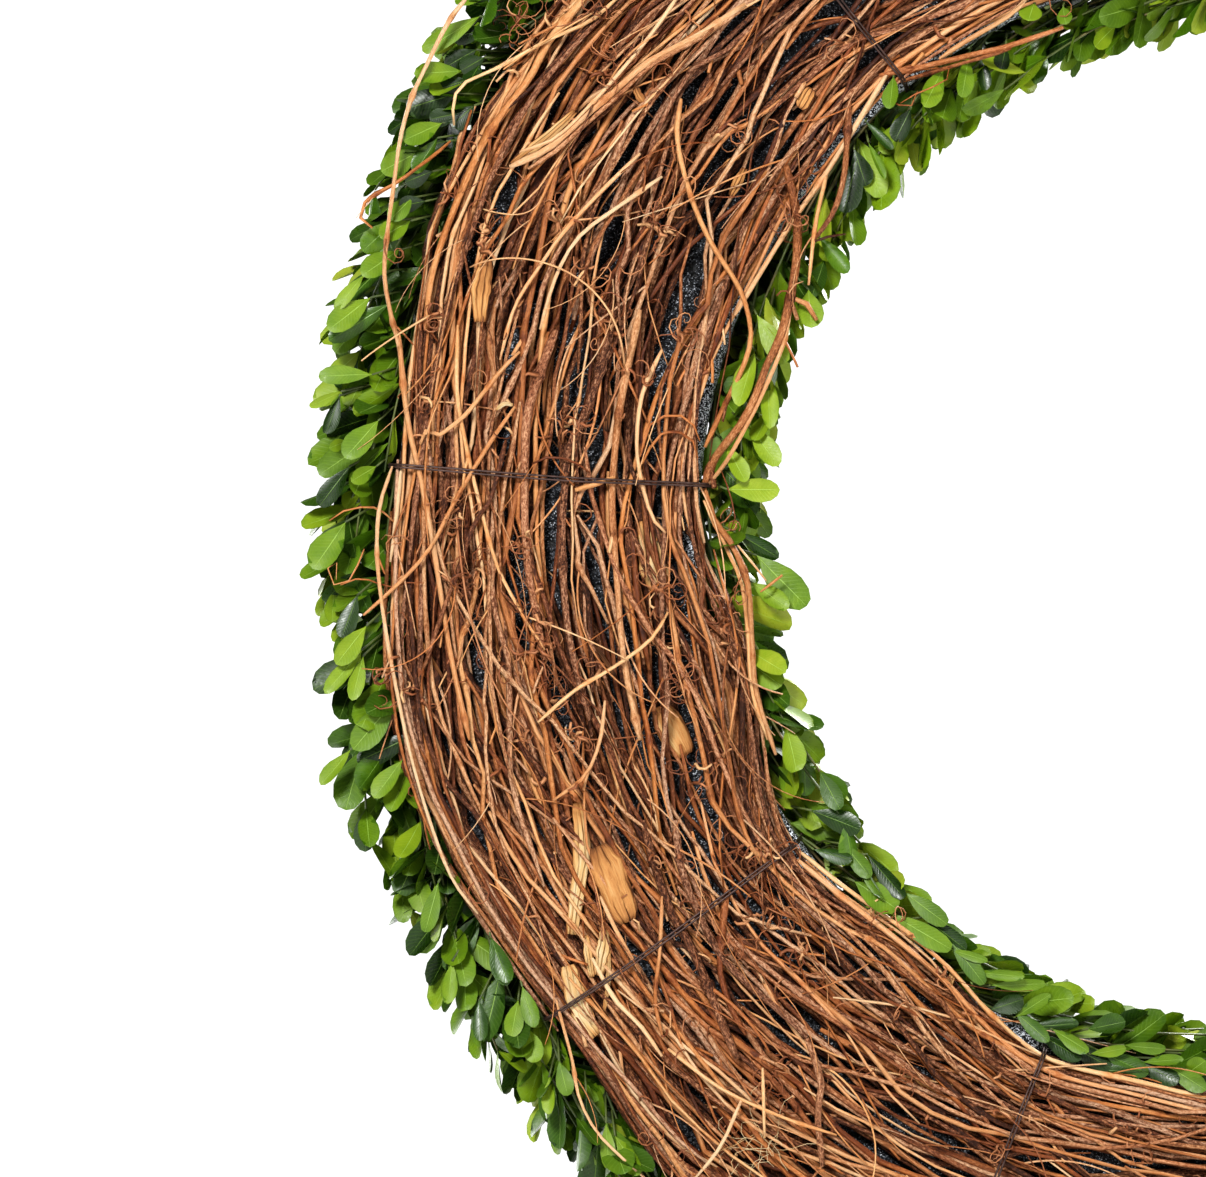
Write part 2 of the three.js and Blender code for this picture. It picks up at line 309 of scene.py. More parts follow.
def long_grain():
    """Fibres that run along a stem: streaks, slow mottling, and a height for bump."""
    group, given, put = new_group(
        "long grain",
        {"Along": "NodeSocketVector", "Fineness": "NodeSocketFloat"},
        {"Streaks": "NodeSocketFloat", "Mottle": "NodeSocketFloat", "Height": "NodeSocketFloat"},
    )
    along = given.outputs["Along"]
    fibres = noise_at(group, scaled(group, along, (1, 1, 0.055)), given.outputs["Fineness"], 4.0, 0.65)
    cracks = noise_at(group, scaled(group, along, (1, 1, 0.16)), 1400, 2.0)
    mottle = noise_at(group, scaled(group, along, (1, 1, 0.7)), 75, 3.0)
    height = calculate(group, "MULTIPLY_ADD", fibres, 0.7, calculate(group, "MULTIPLY", cracks, 0.5))
    streaks = stretch(group, fibres, 0.32, 0.68)
    feed(group, put, Streaks=streaks, Mottle=stretch(group, mottle, 0.3, 0.7), Height=height)
    return group


def leaf_veins():
    """The rib down a leaf's middle and the fine veins that slant from it."""
    group, given, put = new_group(
        "leaf veins",
        {"Blade": "NodeSocketVector", "Rib Width": "NodeSocketFloat"},
        dict.fromkeys(("Rib", "Veins", "Edge", "Height"), "NodeSocketFloat"),
    )
    parts = split(group, given.outputs["Blade"])
    across = calculate(group, "ABSOLUTE", parts["X"])
    along = parts["Y"]
    taper = calculate(group, "MULTIPLY_ADD", along, -0.75, 1.0)
    width = calculate(group, "MULTIPLY", given.outputs["Rib Width"], taper)
    off_rib = stretch(group, calculate(group, "DIVIDE", across, width), 0.35, 1.0)
    rib = calculate(group, "SUBTRACT", 1.0, off_rib)
    slant = calculate(group, "MULTIPLY_ADD", across, -2.6, calculate(group, "MULTIPLY", along, 14.0))
    waves = calculate(group, "SINE", calculate(group, "MULTIPLY", slant, math.tau))
    veins = stretch(group, waves, 0.45, 1.0)
    height = calculate(group, "MULTIPLY_ADD", veins, 0.22, calculate(group, "MULTIPLY", rib, 0.9))
    feed(group, put, Rib=rib, Veins=veins, Edge=stretch(group, across, 0.86, 1.0), Height=height)
    return group


LONG_GRAIN = long_grain()
LEAF_VEINS = leaf_veins()

# How strongly dry and waxy skins mirror
DRY = 0.25
WAXY = 0.35


def grain_along(tree, fineness):
    """The long grain of a strand or scrap, by the place that its points carry."""
    return place_group(tree, LONG_GRAIN, Along=attribute(tree, "grain", "Vector"), Fineness=fineness)


def skin_parts(tree):
    """A strand's tone as X, how rough its bark is as Y, and its tint as Z. On a scrap, Y is the
    place across it."""
    return split(tree, attribute(tree, "skin", "Vector"))


# Finishes


def vine_bark():
    """Dry vines: smooth ones from red-brown to golden straw, and ones with rough speckled bark."""
    made, tree, shader = new_material("vine_bark")
    place = attribute(tree, "grain", "Vector")
    grain = grain_along(tree, 1500.0)
    skin = skin_parts(tree)
    tone = vary(tree, vary(tree, skin["X"], grain["Mottle"], 0.22), grain["Streaks"], 0.16)
    speckle = noise_at(tree, scaled(tree, place, (1, 1, 0.5)), 1700, 3.0, 0.75)
    smooth_skin = ramp(
        tree,
        vary(tree, tone, speckle, 0.55),
        (0.0, (0.040, 0.010, 0.004)),
        (0.25, (0.165, 0.045, 0.012)),
        (0.5, (0.39, 0.148, 0.045)),
        (0.75, (0.53, 0.275, 0.122)),
        (1.0, (0.60, 0.41, 0.235)),
    )
    rough_skin = ramp(
        tree,
        vary(tree, tone, speckle, 2.5),
        (0.0, (0.028, 0.008, 0.003)),
        (0.3, (0.115, 0.037, 0.014)),
        (0.6, (0.31, 0.140, 0.070)),
        (1.0, (0.55, 0.34, 0.21)),
    )
    colour = blend(tree, stretch(tree, skin["Y"], 0.25, 0.75), smooth_skin, rough_skin)
    tint = ramp(
        tree,
        skin["Z"],
        (0.0, (1.0, 0.90, 0.84)),
        (0.3, (0.86, 0.88, 0.92)),
        (0.6, (1.0, 1.0, 1.0)),
        (1.0, (1.0, 0.97, 0.86)),
    )
    colour = blend(tree, 1.0, colour, tint, "MULTIPLY")
    rough = stretch(tree, grain["Streaks"], 0, 1, 0.62, 0.40)
    specks = calculate(tree, "MULTIPLY", speckle, skin["Y"])
    height = calculate(tree, "MULTIPLY_ADD", specks, 1.6, grain["Height"])
    set_surface(tree, shader, colour, rough, height, 0.9, 0.6 * MM, Specular_IOR_Level=DRY)
    return made


def tendril_skin():
    """The thin red-brown skin of a curled tendril."""
    made, tree, shader = new_material("tendril_skin")
    grain = grain_along(tree, 2200.0)
    skin = skin_parts(tree)
    colour = ramp(
        tree,
        calculate(tree, "MULTIPLY_ADD", grain["Mottle"], 0.25, skin["X"]),
        (0.0, (0.100, 0.030, 0.014)),
        (0.45, (0.25, 0.090, 0.037)),
        (0.8, (0.42, 0.195, 0.090)),
        (1.0, (0.56, 0.34, 0.17)),
    )
    rough = stretch(tree, grain["Streaks"], 0, 1, 0.62, 0.4)
    set_surface(tree, shader, colour, rough, grain["Height"], 0.4, 0.2 * MM, Specular_IOR_Level=DRY)
    return made


def binding_wire():
    """Dark wire, worn brighter in places."""
    made, tree, shader = new_material("binding_wire")
    worn = noise_at(tree, attribute(tree, "grain", "Vector"), 420, 3.0)
    colour = ramp(
        tree,
        worn,
        (0.3, (0.030, 0.016, 0.013)),
        (0.62, (0.075, 0.042, 0.034)),
        (0.85, (0.16, 0.11, 0.09)),
    )
    rough = stretch(tree, worn, 0.3, 0.7, 0.34, 0.58)
    set_surface(tree, shader, colour, rough, worn, 0.25, 0.1 * MM, Metallic=0.55)
    return made


def foam_beads():
    """Black foam of coarse glossy cells. Its bright glints are painted highlights in its colour, and they
    are most round the hole.
    """
    made, tree, shader = new_material("foam_beads")
    place = object_place(tree)
    warp = add_node(tree, "ShaderNodeTexNoise")
    feed(tree, warp, Vector=place, Scale=520.0, Detail=2.0)
    warped = calculate_vector(tree, "MULTIPLY_ADD", warp.outputs["Color"], (1.6 * MM,) * 3, place)
    cells = cells_at(tree, warped["Vector"], 620.0)["Distance"]
    flakes = split(tree, cells_at(tree, place, 2900.0)["Color"])
    pits = noise_at(tree, place, 230, 3.0)
    radius = calculate_vector(tree, "DISTANCE", scaled(tree, place, (1, 0, 1)), CENTRE)["Value"]
    # Painted glints: small cells whose colour is made bright bluish white, as highlights; more of them lie
    # round the hole
    few = stretch(tree, noise_at(tree, place, 90, 2.0), 0.35, 0.65, 0.97, 0.88)
    more_painted_glints_inside = stretch(tree, radius, FOAM_INNER, FOAM_INNER + 9 * MM, 0.42, 0.0)
    few = calculate(tree, "SUBTRACT", few, more_painted_glints_inside)
    painted_glint = stretch(tree, calculate(tree, "SUBTRACT", flakes["X"], few), 0.0, 0.05)
    # The grains are fainter painted glints: fine cells of grey and bluish grey over the black
    grains = ramp(
        tree,
        flakes["Y"],
        (0.35, (0.0010, 0.0010, 0.0012)),
        (0.72, (0.014, 0.016, 0.021)),
        (0.92, (0.080, 0.087, 0.102)),
        (1.0, (0.20, 0.212, 0.235)),
    )
    colour = blend(tree, stretch(tree, cells, 0.5, 0.8), grains, (0.001, 0.001, 0.001))
    # The painted glints are brightest round the hole, where the foam's inner edge catches the light
    painted_glint_strength = stretch(tree, radius, FOAM_INNER, FOAM_INNER + 12 * MM, 0.95, 0.5)
    colour = blend(tree, calculate(tree, "MULTIPLY", painted_glint, painted_glint_strength), colour, (0.78, 0.82, 0.88))
    rough = stretch(tree, painted_glint, 0, 1, 0.62, 0.15)
    height = calculate(tree, "MULTIPLY_ADD", cells, -1.0, calculate(tree, "MULTIPLY", pits, 1.6))
    set_surface(tree, shader, colour, rough, height, 1.0, 1.1 * MM, Specular_IOR_Level=WAXY)
    return made


def leaf_face(name, stops, rib_colour, rib_share, gloss, rib_width):
    """One side of a leaf: its own greens, with the rib and veins that both sides share."""
    made, tree, shader = new_material(name)
    blade = attribute(tree, "blade", "Vector")
    veins = place_group(tree, LEAF_VEINS, Blade=blade, Rib_Width=rib_width)
    place = object_place(tree)
    colour = ramp(tree, vary(tree, split(tree, blade)["Z"], noise_at(tree, place, 150, 4.0), 0.4), *stops)
    for part, share, other in (
        ("Veins", 0.05, rib_colour),
        ("Rib", rib_share, rib_colour),
        ("Edge", 0.25, (0.03, 0.06, 0.010)),
    ):
        colour = blend(tree, calculate(tree, "MULTIPLY", veins[part], share), colour, other)
    rough = stretch(tree, noise_at(tree, place, 900, 2.0), 0.3, 0.7, gloss - 0.07, gloss + 0.1)
    height = calculate(tree, "MULTIPLY_ADD", noise_at(tree, place, 2600, 2.0), 0.18, veins["Height"])
    set_surface(tree, shader, colour, rough, height, 0.4, 0.25 * MM, Specular_IOR_Level=WAXY)
    return made


def leaf_upper():
    stops = (
        (0.0, (0.003, 0.010, 0.001)),
        (0.3, (0.011, 0.036, 0.001)),
        (0.55, (0.045, 0.105, 0.002)),
        (0.8, (0.135, 0.215, 0.006)),
        (1.0, (0.27, 0.32, 0.030)),
    )
    return leaf_face("leaf_upper", stops, (0.22, 0.38, 0.05), 0.4, 0.32, 0.07)


def leaf_under():
    stops = (
        (0.0, (0.009, 0.026, 0.001)),
        (0.3, (0.032, 0.080, 0.002)),
        (0.55, (0.092, 0.165, 0.004)),
        (0.8, (0.180, 0.255, 0.010)),
        (1.0, (0.29, 0.34, 0.035)),
    )
    return leaf_face("leaf_under", stops, (0.34, 0.50, 0.12), 0.45, 0.46, 0.08)


def sprig_stem():
    made, tree, shader = new_material("sprig_stem")
    grain = grain_along(tree, 1800.0)
    colour = ramp(
        tree,
        grain["Mottle"],
        (0.1, (0.030, 0.048, 0.010)),
        (0.6, (0.080, 0.105, 0.022)),
        (1.0, (0.15, 0.10, 0.04)),
    )
    set_surface(tree, shader, colour, 0.6, grain["Height"], 0.5, 0.2 * MM)
    return made


def dried_leaf():
    """Old leaf and bark scraps: pale tan, streaked, and folded along dark lines that are painted shade."""
    made, tree, shader = new_material("dried_leaf")
    place = attribute(tree, "grain", "Vector")
    grain = grain_along(tree, 900.0)
    skin = skin_parts(tree)
    tone = vary(tree, vary(tree, skin["X"], grain["Streaks"], 0.3), grain["Mottle"], 0.3)
    edge = stretch(tree, calculate(tree, "ABSOLUTE", skin["Y"]), 0.8, 1.0, 0.0, 0.3)
    sway = calculate(tree, "MULTIPLY", noise_at(tree, place, 130, 2.0), 0.8)
    fold = calculate(tree, "PINGPONG", calculate(tree, "MULTIPLY_ADD", skin["Y"], 1.5, sway), 0.5)
    broken = stretch(tree, noise_at(tree, place, 70, 1.0), 0.35, 0.6, 0.1, 1.0)
    # Painted shade: the colour darkens along the folds, where the bump also sinks
    crease_shade = calculate(tree, "MULTIPLY", stretch(tree, fold, 0.0, 0.15, 1.0, 0.0), broken)
    tone = calculate(tree, "SUBTRACT", tone, calculate(tree, "MULTIPLY_ADD", crease_shade, 0.26, edge))
    colour = ramp(
        tree,
        tone,
        (0.0, (0.040, 0.014, 0.005)),
        (0.3, (0.22, 0.085, 0.025)),
        (0.55, (0.42, 0.20, 0.065)),
        (0.8, (0.50, 0.32, 0.14)),
        (1.0, (0.54, 0.43, 0.26)),
    )
    height = calculate(tree, "MULTIPLY_ADD", crease_shade, -0.9, grain["Height"])
    set_surface(tree, shader, colour, 0.7, height, 0.9, 0.8 * MM, Specular_IOR_Level=DRY)
    return made


# Meshes


def mesh_from(name, points, face_groups, face_materials, materials, vectors=None):
    """A smooth mesh from arrays: groups of faces with alike corner counts, and point attributes."""
    mesh = bpy.data.meshes.new(name)
    corners = np.concatenate([group.ravel() for group in face_groups]).astype(np.int32)
    counts = np.concatenate([np.full(len(group), group.shape[1]) for group in face_groups])
    starts = np.concatenate([[0], np.cumsum(counts)[:-1]]).astype(np.int32)
    mesh.vertices.add(len(points))
    mesh.vertices.foreach_set("co", np.asarray(points, dtype=np.float32).ravel())
    mesh.loops.add(len(corners))
    mesh.loops.foreach_set("vertex_index", corners)
    mesh.polygons.add(len(starts))
    mesh.polygons.foreach_set("loop_start", starts)
    mesh.update(calc_edges=True)
    for material in materials:
        mesh.materials.append(material)
    mesh.polygons.foreach_set("material_index", np.concatenate(face_materials).astype(np.int32))
    for label, data in (vectors or {}).items():
        layer = mesh.attributes.new(label, "FLOAT_VECTOR", "POINT")
        layer.data.foreach_set("vector", np.asarray(data, dtype=np.float32).ravel())
    mesh.shade_smooth()
    mesh.validate()
    return mesh


def new_object(name, data):
    made = bpy.data.objects.new(name, data)
    bpy.context.scene.collection.objects.link(made)
    return made


def add_piece(name, mesh, nodes=()):
    piece = new_object(name, mesh)
    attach(piece, "root")
    if nodes:
        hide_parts(*nodes)


def wall_faces(rings, following, size):
    """Four-cornered faces between closed rings of points and the rings that follow them."""
    low, high = rings[:, None] * size, following[:, None] * size
    here = np.arange(size)[None]
    beside = (here + 1) % size
    return np.stack([low + here, low + beside, high + beside, high + here], axis=-1).reshape(-1, 4)


def arc(radius, depth, wide, deep, first, last, steps):
    """Points of a section along an arc between two angles in degrees, where 0 points outwards."""
    turns = [math.radians(lerp(first, last, i / steps)) for i in range(steps + 1)]
    return [(radius + wide * math.cos(turn), depth + deep * math.sin(turn)) for turn in turns]


def resample(path, lengths):
    """Points of a polyline at given distances along it."""
    steps = np.linalg.norm(np.diff(path, axis=0), axis=1)
    travelled = np.concatenate([[0], np.cumsum(steps)])
    return np.stack([np.interp(lengths, travelled, path[:, i]) for i in range(3)], axis=1)


def path_length(path):
    return float(np.linalg.norm(np.diff(path, axis=0), axis=1).sum())


# How an offset moves a strand's grain, so that no two strands look alike, and the largest offset
GRAIN_SHIFT = (1, 0.37, 1.7)
MOST_OFFSET = 9


class Strands:
    """Round strands gathered into one mesh."""

    def __init__(self):
        self.points = []
        self.sides = []
        self.ends = {}
        self.grain = []
        self.skin = []
        self.count = 0

    def add(self, path, radii, sides, tone, bark, ridge=0.0, offset=0.0):
        """A strand along a path. The ridge is how far it is out of round, and the offset sets its
        grain and tint apart from the others'."""
        path = np.asarray(path, dtype=float)
        radii = np.broadcast_to(np.asarray(radii, dtype=float), (len(path),))
        tangents = np.gradient(path, axis=0)
        tangents /= np.linalg.norm(tangents, axis=1, keepdims=True) + 1e-12
        normal = np.cross(tangents[0], (0.13, 1, 0.07))
        normals = np.empty_like(path)
        for i, tangent in enumerate(tangents):
            normal = normal - tangent * normal.dot(tangent)
            normal /= math.sqrt(normal.dot(normal)) + 1e-12
            normals[i] = normal
        others = np.cross(tangents, normals)
        turns = np.arange(sides) * (math.tau / sides)
        lumps = 1 + ridge * np.sin(3 * turns + offset) + 0.6 * ridge * np.sin(2 * turns + 2.3 * offset)
        across = np.cos(turns) * lumps
        over = np.sin(turns) * lumps
        rings = path[:, None] + radii[:, None, None] * (
            across[None, :, None] * normals[:, None] + over[None, :, None] * others[:, None]
        )
        travelled = np.concatenate([[0], np.cumsum(np.linalg.norm(np.diff(path, axis=0), axis=1))])
        grain = np.empty_like(rings)
        grain[..., 0] = radii[:, None] * np.cos(turns)[None]
        grain[..., 1] = radii[:, None] * np.sin(turns)[None]
        grain[..., 2] = travelled[:, None]
        grain += offset * np.array(GRAIN_SHIFT)
        rings_here = np.arange(len(path) - 1)
        self.sides.append(self.count + wall_faces(rings_here, rings_here + 1, sides))
        last = self.count + (len(path) - 1) * sides
        caps = self.ends.setdefault(sides, [])
        caps.append(self.count + np.arange(sides)[::-1])
        caps.append(last + np.arange(sides))
        self.points.append(rings.reshape(-1, 3))
        self.grain.append(grain.reshape(-1, 3))
        skin = np.empty_like(rings)
        skin[..., 0] = np.broadcast_to(tone, (len(path),))[:, None]
        skin[..., 1] = bark
        skin[..., 2] = offset / MOST_OFFSET
        self.skin.append(skin.reshape(-1, 3))
        self.count += len(path) * sides

    def faces(self):
        """The faces along the strands, then the end caps by their corner count."""
        return [np.concatenate(self.sides), *map(np.array, self.ends.values())]

    def add_piece(self, name, material, slot, nodes=()):
        groups = self.faces()
        vectors = {"grain": np.concatenate(self.grain), "skin": np.concatenate(self.skin)}
        points = np.concatenate(self.points)
        only = [np.zeros(len(group)) for group in groups]
        add_piece(name, mesh_from(name, points, groups, only, [material], vectors), nodes)


# Camera, light and floor

# The lamps' places, sizes and powers
LAMPS = {
    "key": ((0.75, 1.7, 0.75), 0.45, 56),
    "fill": ((-1.0, 1.6, 0.1), 1.2, 15),
    "front_key": ((-1.0, -1.5, 0.9), 0.6, 92),
    "front_fill": ((1.2, -1.3, -0.1), 1.2, 30),
}
# How bright the white world is as light, where it is 1 to the eye
WORLD_LIGHT = 0.1
# How far the floor lies under the wreath, and its corners in plan
FLOOR_DROP = 70 * MM
FLOOR_CORNERS = ((-1.4, -1.0), (1.4, -1.0), (1.4, 1.4), (-1.4, 1.4))


def set_camera():
    camera = new_object("camera", bpy.data.cameras.new("camera"))
    camera.location = photo_point((PHOTO_SIZE[0] / 2, PHOTO_SIZE[1] / 2), CAMERA_DISTANCE)
    camera.rotation_euler = (math.radians(90), 0, math.radians(180))
    camera.data.sensor_width = SENSOR_WIDTH
    camera.data.lens = SENSOR_WIDTH * CAMERA_DISTANCE / (PHOTO_SIZE[0] * PHOTO_PIXEL)
    camera.data.clip_end = 20
    bpy.context.scene.camera = camera


def set_light():
    """White all round for the eye, dimmer as light, with large soft lamps behind and in front."""
    world = bpy.data.worlds.new("studio")
    bpy.context.scene.world = world
    world.use_nodes = True
    tree = world.node_tree
    seen = add_node(tree, "ShaderNodeLightPath").outputs["Is Camera Ray"]
    strength = stretch(tree, seen, 0, 1, WORLD_LIGHT, 1.0)
    feed(tree, tree.nodes["Background"], Color=(1, 1, 1), Strength=strength)
    for name, (place, size, power) in LAMPS.items():
        lamp = bpy.data.lights.new(name, "AREA")
        lamp.size = size
        lamp.energy = power
        holder = new_object(name, lamp)
        holder.location = place
        holder.rotation_euler = (CENTRE - Vector(place)).to_track_quat("-Z", "Y").to_euler()
    bpy.context.scene.view_settings.view_transform = "Standard"
    bpy.context.scene.view_settings.look = "Medium High Contrast"


def set_floor():
    made, tree, shader = new_material("floor")
    speckle = noise_at(tree, object_place(tree), 40)
    colour = ramp(tree, speckle, (0.3, (0.82, 0.82, 0.81)), (0.7, (0.86, 0.86, 0.85)))
    feed(tree, shader, Base_Color=colour, Roughness=0.9)
    level = cad_box[0][2] - FLOOR_DROP
    mesh = bpy.data.meshes.new("floor")
    mesh.from_pydata([(x, y, level) for x, y in FLOOR_CORNERS], [], [(0, 1, 2, 3)])
    mesh.materials.append(made)
    floor = new_object("floor", mesh)


# Foam ring

# Points round the ring, how fine its two kinds of lumps are, how high they stand, and how far the
# surface lies inside the section to leave them room
FOAM_STEPS = 264
LUMPS = (260, 610)
LUMP_HEIGHT = 0.5 * MM
FOAM_INSET = 0.55 * MM


def foam_profile():
    """The foam's section as distance from the ring's middle and depth, from the hole round the
    front, the rim and the back."""
    corner = FOAM_CORNER
    back = [(lerp(FOAM_OUTER - corner, FOAM_INNER + corner, i / 20), FOAM_BACK) for i in range(1, 20)]
    return [
        *arc(FOAM_MIDDLE, FOAM_SHOULDER, FOAM_HALF, FOAM_FRONT - FOAM_SHOULDER, 180, 0, 16),
        *arc(FOAM_OUTER - corner, FOAM_BACK - corner, corner, corner, 0, 90, 4),
        *back,
        *arc(FOAM_INNER + corner, FOAM_BACK - corner, corner, corner, 90, 180, 4),
    ]


def make_foam(material):
    """A finer ring of the same section, its surface roughened into lumps."""
    profile = foam_profile()
    points = []
    for step in range(FOAM_STEPS):
        turn = 360 * step / FOAM_STEPS
        core = ring_point(turn, FOAM_MIDDLE, FOAM_CORE)
        for radius, depth in profile:
            point = ring_point(turn, radius, depth)
            lump = noise.noise(point * LUMPS[0]) + 0.5 * noise.noise(point * LUMPS[1])
            points.append(point + (core - point).normalized() * (FOAM_INSET + LUMP_HEIGHT * lump))
    rings = np.arange(FOAM_STEPS)
    quads = wall_faces(rings, (rings + 1) % FOAM_STEPS, len(profile))
    mesh = mesh_from("foam", np.array(points), [quads], [np.zeros(len(quads))], [material])
    add_piece("foam", mesh, ["foam_ring"])


# Vines

# The share of its rise and fall that a wire leaves a vine, and how sharply vines gather at the edges
HELD_LIFT = 0.3
GATHER = 7
# The waves in which a vine sways, as length and share, and how far apart its kinks are, in mm
SWAYS = ((150 * MM, 1.0), (62 * MM, 0.45), (27 * MM, 0.17))
KINK_GAPS = (32, 60)
# A vine's knots: how far apart they are in mm, how long and how dark they are, and the thinnest
# vine and the coarsest spacing of points that have any
KNOT_GAPS = (26, 90)
KNOT_LENGTH = 1.9 * MM
KNOT_STATION = 2.2 * MM
KNOT_DARKER = 0.22
KNOTTED_THICKNESS = 0.9 * MM
KNOTTED_SPACING = 15 * MM


def mat_height(angle, across):
    """How thick the vine mat is: pinched at a wire, and thinner towards its edges."""
    crown = lerp(EDGE_SHARE, 1, math.sqrt(math.sin(math.pi * min(max(across, 0.0), 1.0))))
    return MAT_THICK * lerp(MAT_PINCH, 1, looseness(angle)) * crown


def mat_edges(angle):
    """The mat's inner and outer radius: it bulges to both sides between the wires."""
    loose = looseness(angle)
    passed = min(range(len(WIRE_ANGLES)), key=lambda i: (angle - WIRE_ANGLES[i]) % 360)
    clear = (angle - WIRE_ANGLES[passed]) % 360
    gap = (WIRE_ANGLES[passed - 1] - WIRE_ANGLES[passed]) % 360
    pull = lerp(WIRE_PULLS[passed], WIRE_PULLS[passed - 1], clear / gap) * MM
    return MAT_INNER + pull - BULGE_IN * BULGE_SHARES[passed] * loose, MAT_OUTER + BULGE_OUT * loose


def mat_depth(angle, across, layer, thickness):
    """The depth of a vine's middle, with layer from 0 on the foam to 1 on top of the mat."""
    height = lerp(thickness / 2, mat_height(angle, across) - thickness / 2, layer)
    return FOAM_BACK + TOUCH + height


def mat_point(angle, across, layer, thickness, lift=0.0):
    """A place for a vine of some thickness, with across from 0 at the hole to 1 at the rim."""
    inner, outer = mat_edges(angle)
    radius = lerp(inner + thickness / 2, outer - thickness / 2, across)
    depth = mat_depth(angle, across, layer, thickness)
    return ring_point(angle, radius, depth + lift * lerp(HELD_LIFT, 1, looseness(angle)))


def hold_between(share):
    """Ease a place across the mat back inside it, so that vines gather along its edges."""
    off = 2 * share - 1
    return 0.5 + 0.5 * off / (1 + abs(off) ** GATHER) ** (1 / GATHER)


def wander(draw, places, size):
    """How far a vine sways: long bends, shorter ones, and kinks where it once branched."""
    sway = np.zeros(len(places))
    for wave, share in SWAYS:
        turns = places / wave * math.tau * draw.uniform(0.8, 1.25)
        sway += share * np.sin(turns + draw.uniform(0, math.tau))
    corners = np.arange(0, places[-1] + 90 * MM, draw.uniform(*KINK_GAPS) * MM)
    kinks = [draw.gauss(0, 0.5) for _ in corners]
    return size * (sway + np.interp(places, corners, kinks))


# Where the photograph shows the foam between the vines: its pixel, its length along the ring and
# its width in pixels
OPENINGS = (
    ((742, 22), 60, 16), ((700, 85), 55, 18), ((802, 36), 30, 12), ((640, 125), 44, 12),
    ((585, 140), 40, 10), ((562, 92), 44, 12), ((497, 205), 54, 24), ((470, 258), 46, 20),
    ((610, 248), 60, 26), ((597, 290), 44, 14), ((735, 145), 36, 14), ((722, 200), 32, 16),
    ((735, 246), 36, 12), ((698, 298), 36, 14), ((508, 348), 40, 16), ((500, 438), 46, 18),
    ((582, 388), 50, 16), ((592, 448), 64, 20), ((588, 512), 52, 16), ((592, 562), 40, 14),
    ((515, 580), 44, 26), ((472, 655), 50, 22), ((524, 630), 34, 16), ((478, 722), 40, 12),
    ((640, 962), 44, 18), ((672, 930), 30, 14), ((704, 972), 36, 16), ((738, 930), 30, 14),
    ((680, 1130), 40, 18), ((780, 1022), 30, 12), ((1100, 1166), 50, 22), ((1038, 1162), 34, 14),
    ((930, 998), 24, 10), ((476, 838), 44, 14), ((552, 490), 44, 12), ((722, 385), 130, 30),
    ((838, 888), 60, 18), ((868, 917), 40, 12), ((692, 545), 70, 12), ((684, 600), 50, 14),
    ((712, 610), 40, 10), ((508, 60), 60, 18), ((440, 225), 60, 12), ((470, 120), 40, 10),
)


# How far, as a share of half its width, vines are kept from an opening's middle, and how far from
# the foam's inner edge an opening lies from which they are only pushed outwards
OPENING_EDGE = (0.95, 1.6)
INNER_OPENING = 3 * MM


def part_vines(draw, angles, radii, thickness):
    """Push a vine's path to one side of each opening that it would cross, and outwards from
    an opening over the foam's inner edge."""
    for pixel, length, width in OPENINGS:
        angle, radius = pixel_place(pixel)
        half_length = math.degrees(length / 2 * PHOTO_PIXEL / radius)
        half_width = (width * PHOTO_PIXEL + thickness) / 2
        past = (angles - angle + 180) % 360 - 180
        nearest = int(np.argmin(np.abs(past)))
        edge = draw.uniform(*OPENING_EDGE)
        if abs(past[nearest]) > half_length * 1.5:
            continue
        outwards = radii[nearest] > radius or radius < FOAM_INNER + INNER_OPENING
        hand = 1 if outwards else -1
        off = hand * (radii - radius) / half_width
        short = np.clip(edge - off, 0, None) * (off > -edge)
        radii = radii + hand * short * half_width * np.exp(-((past / half_length) ** 2))
    return radii


def vine_path(draw, turn, sweep, across, slope, layer, thickness, parted=True):
    """The path of a vine that starts at an angle and sweeps towards smaller ones, at a slope."""
    length = math.radians(sweep) * FOAM_MIDDLE
    shares = np.linspace(0, 1, int(sweep / 1.5) + 5)
    gain = math.tan(math.radians(slope)) * length / MAT_WIDTH
    sway = wander(draw, shares * length, draw.uniform(0.8, 2.2 + 2 * MM / thickness) * MM) / MAT_WIDTH
    lift = wander(draw, shares * length, draw.uniform(0.2, 0.7) * MM)
    angles = turn - sweep * shares
    inner, outer = np.array([mat_edges(angle) for angle in angles]).T
    places = np.array([hold_between(place) for place in across + gain * (shares - 0.5) + sway])
    if parted:
        radii = part_vines(draw, angles, inner + (outer - inner) * places, thickness)
        places = np.clip((radii - inner) / (outer - inner), 0, 1)
    points = zip(angles, places, lift)
    return np.array([mat_point(angle, place, layer, thickness, up) for angle, place, up in points])


def vine_stations(length, spacing, knots):
    """Where to put rings along a vine: evenly, and closely round its knots."""
    places = list(np.linspace(0, length, max(int(length / spacing), 2) + 1))
    for knot in knots:
        places += [knot - KNOT_STATION, knot, knot + KNOT_STATION]
    return np.array(sorted(place for place in places if 0 <= place <= length))


def knot_places(draw, length, thickness, spacing):
    """Where a vine's knots lie along it. Thin vines and coarsely drawn ones have none."""
    places = []
    place = draw.uniform(8, 50) * MM
    while place < length - 6 * MM and thickness > KNOTTED_THICKNESS and spacing < KNOTTED_SPACING:
        places.append(place)
        place += draw.uniform(*KNOT_GAPS) * MM
    return places


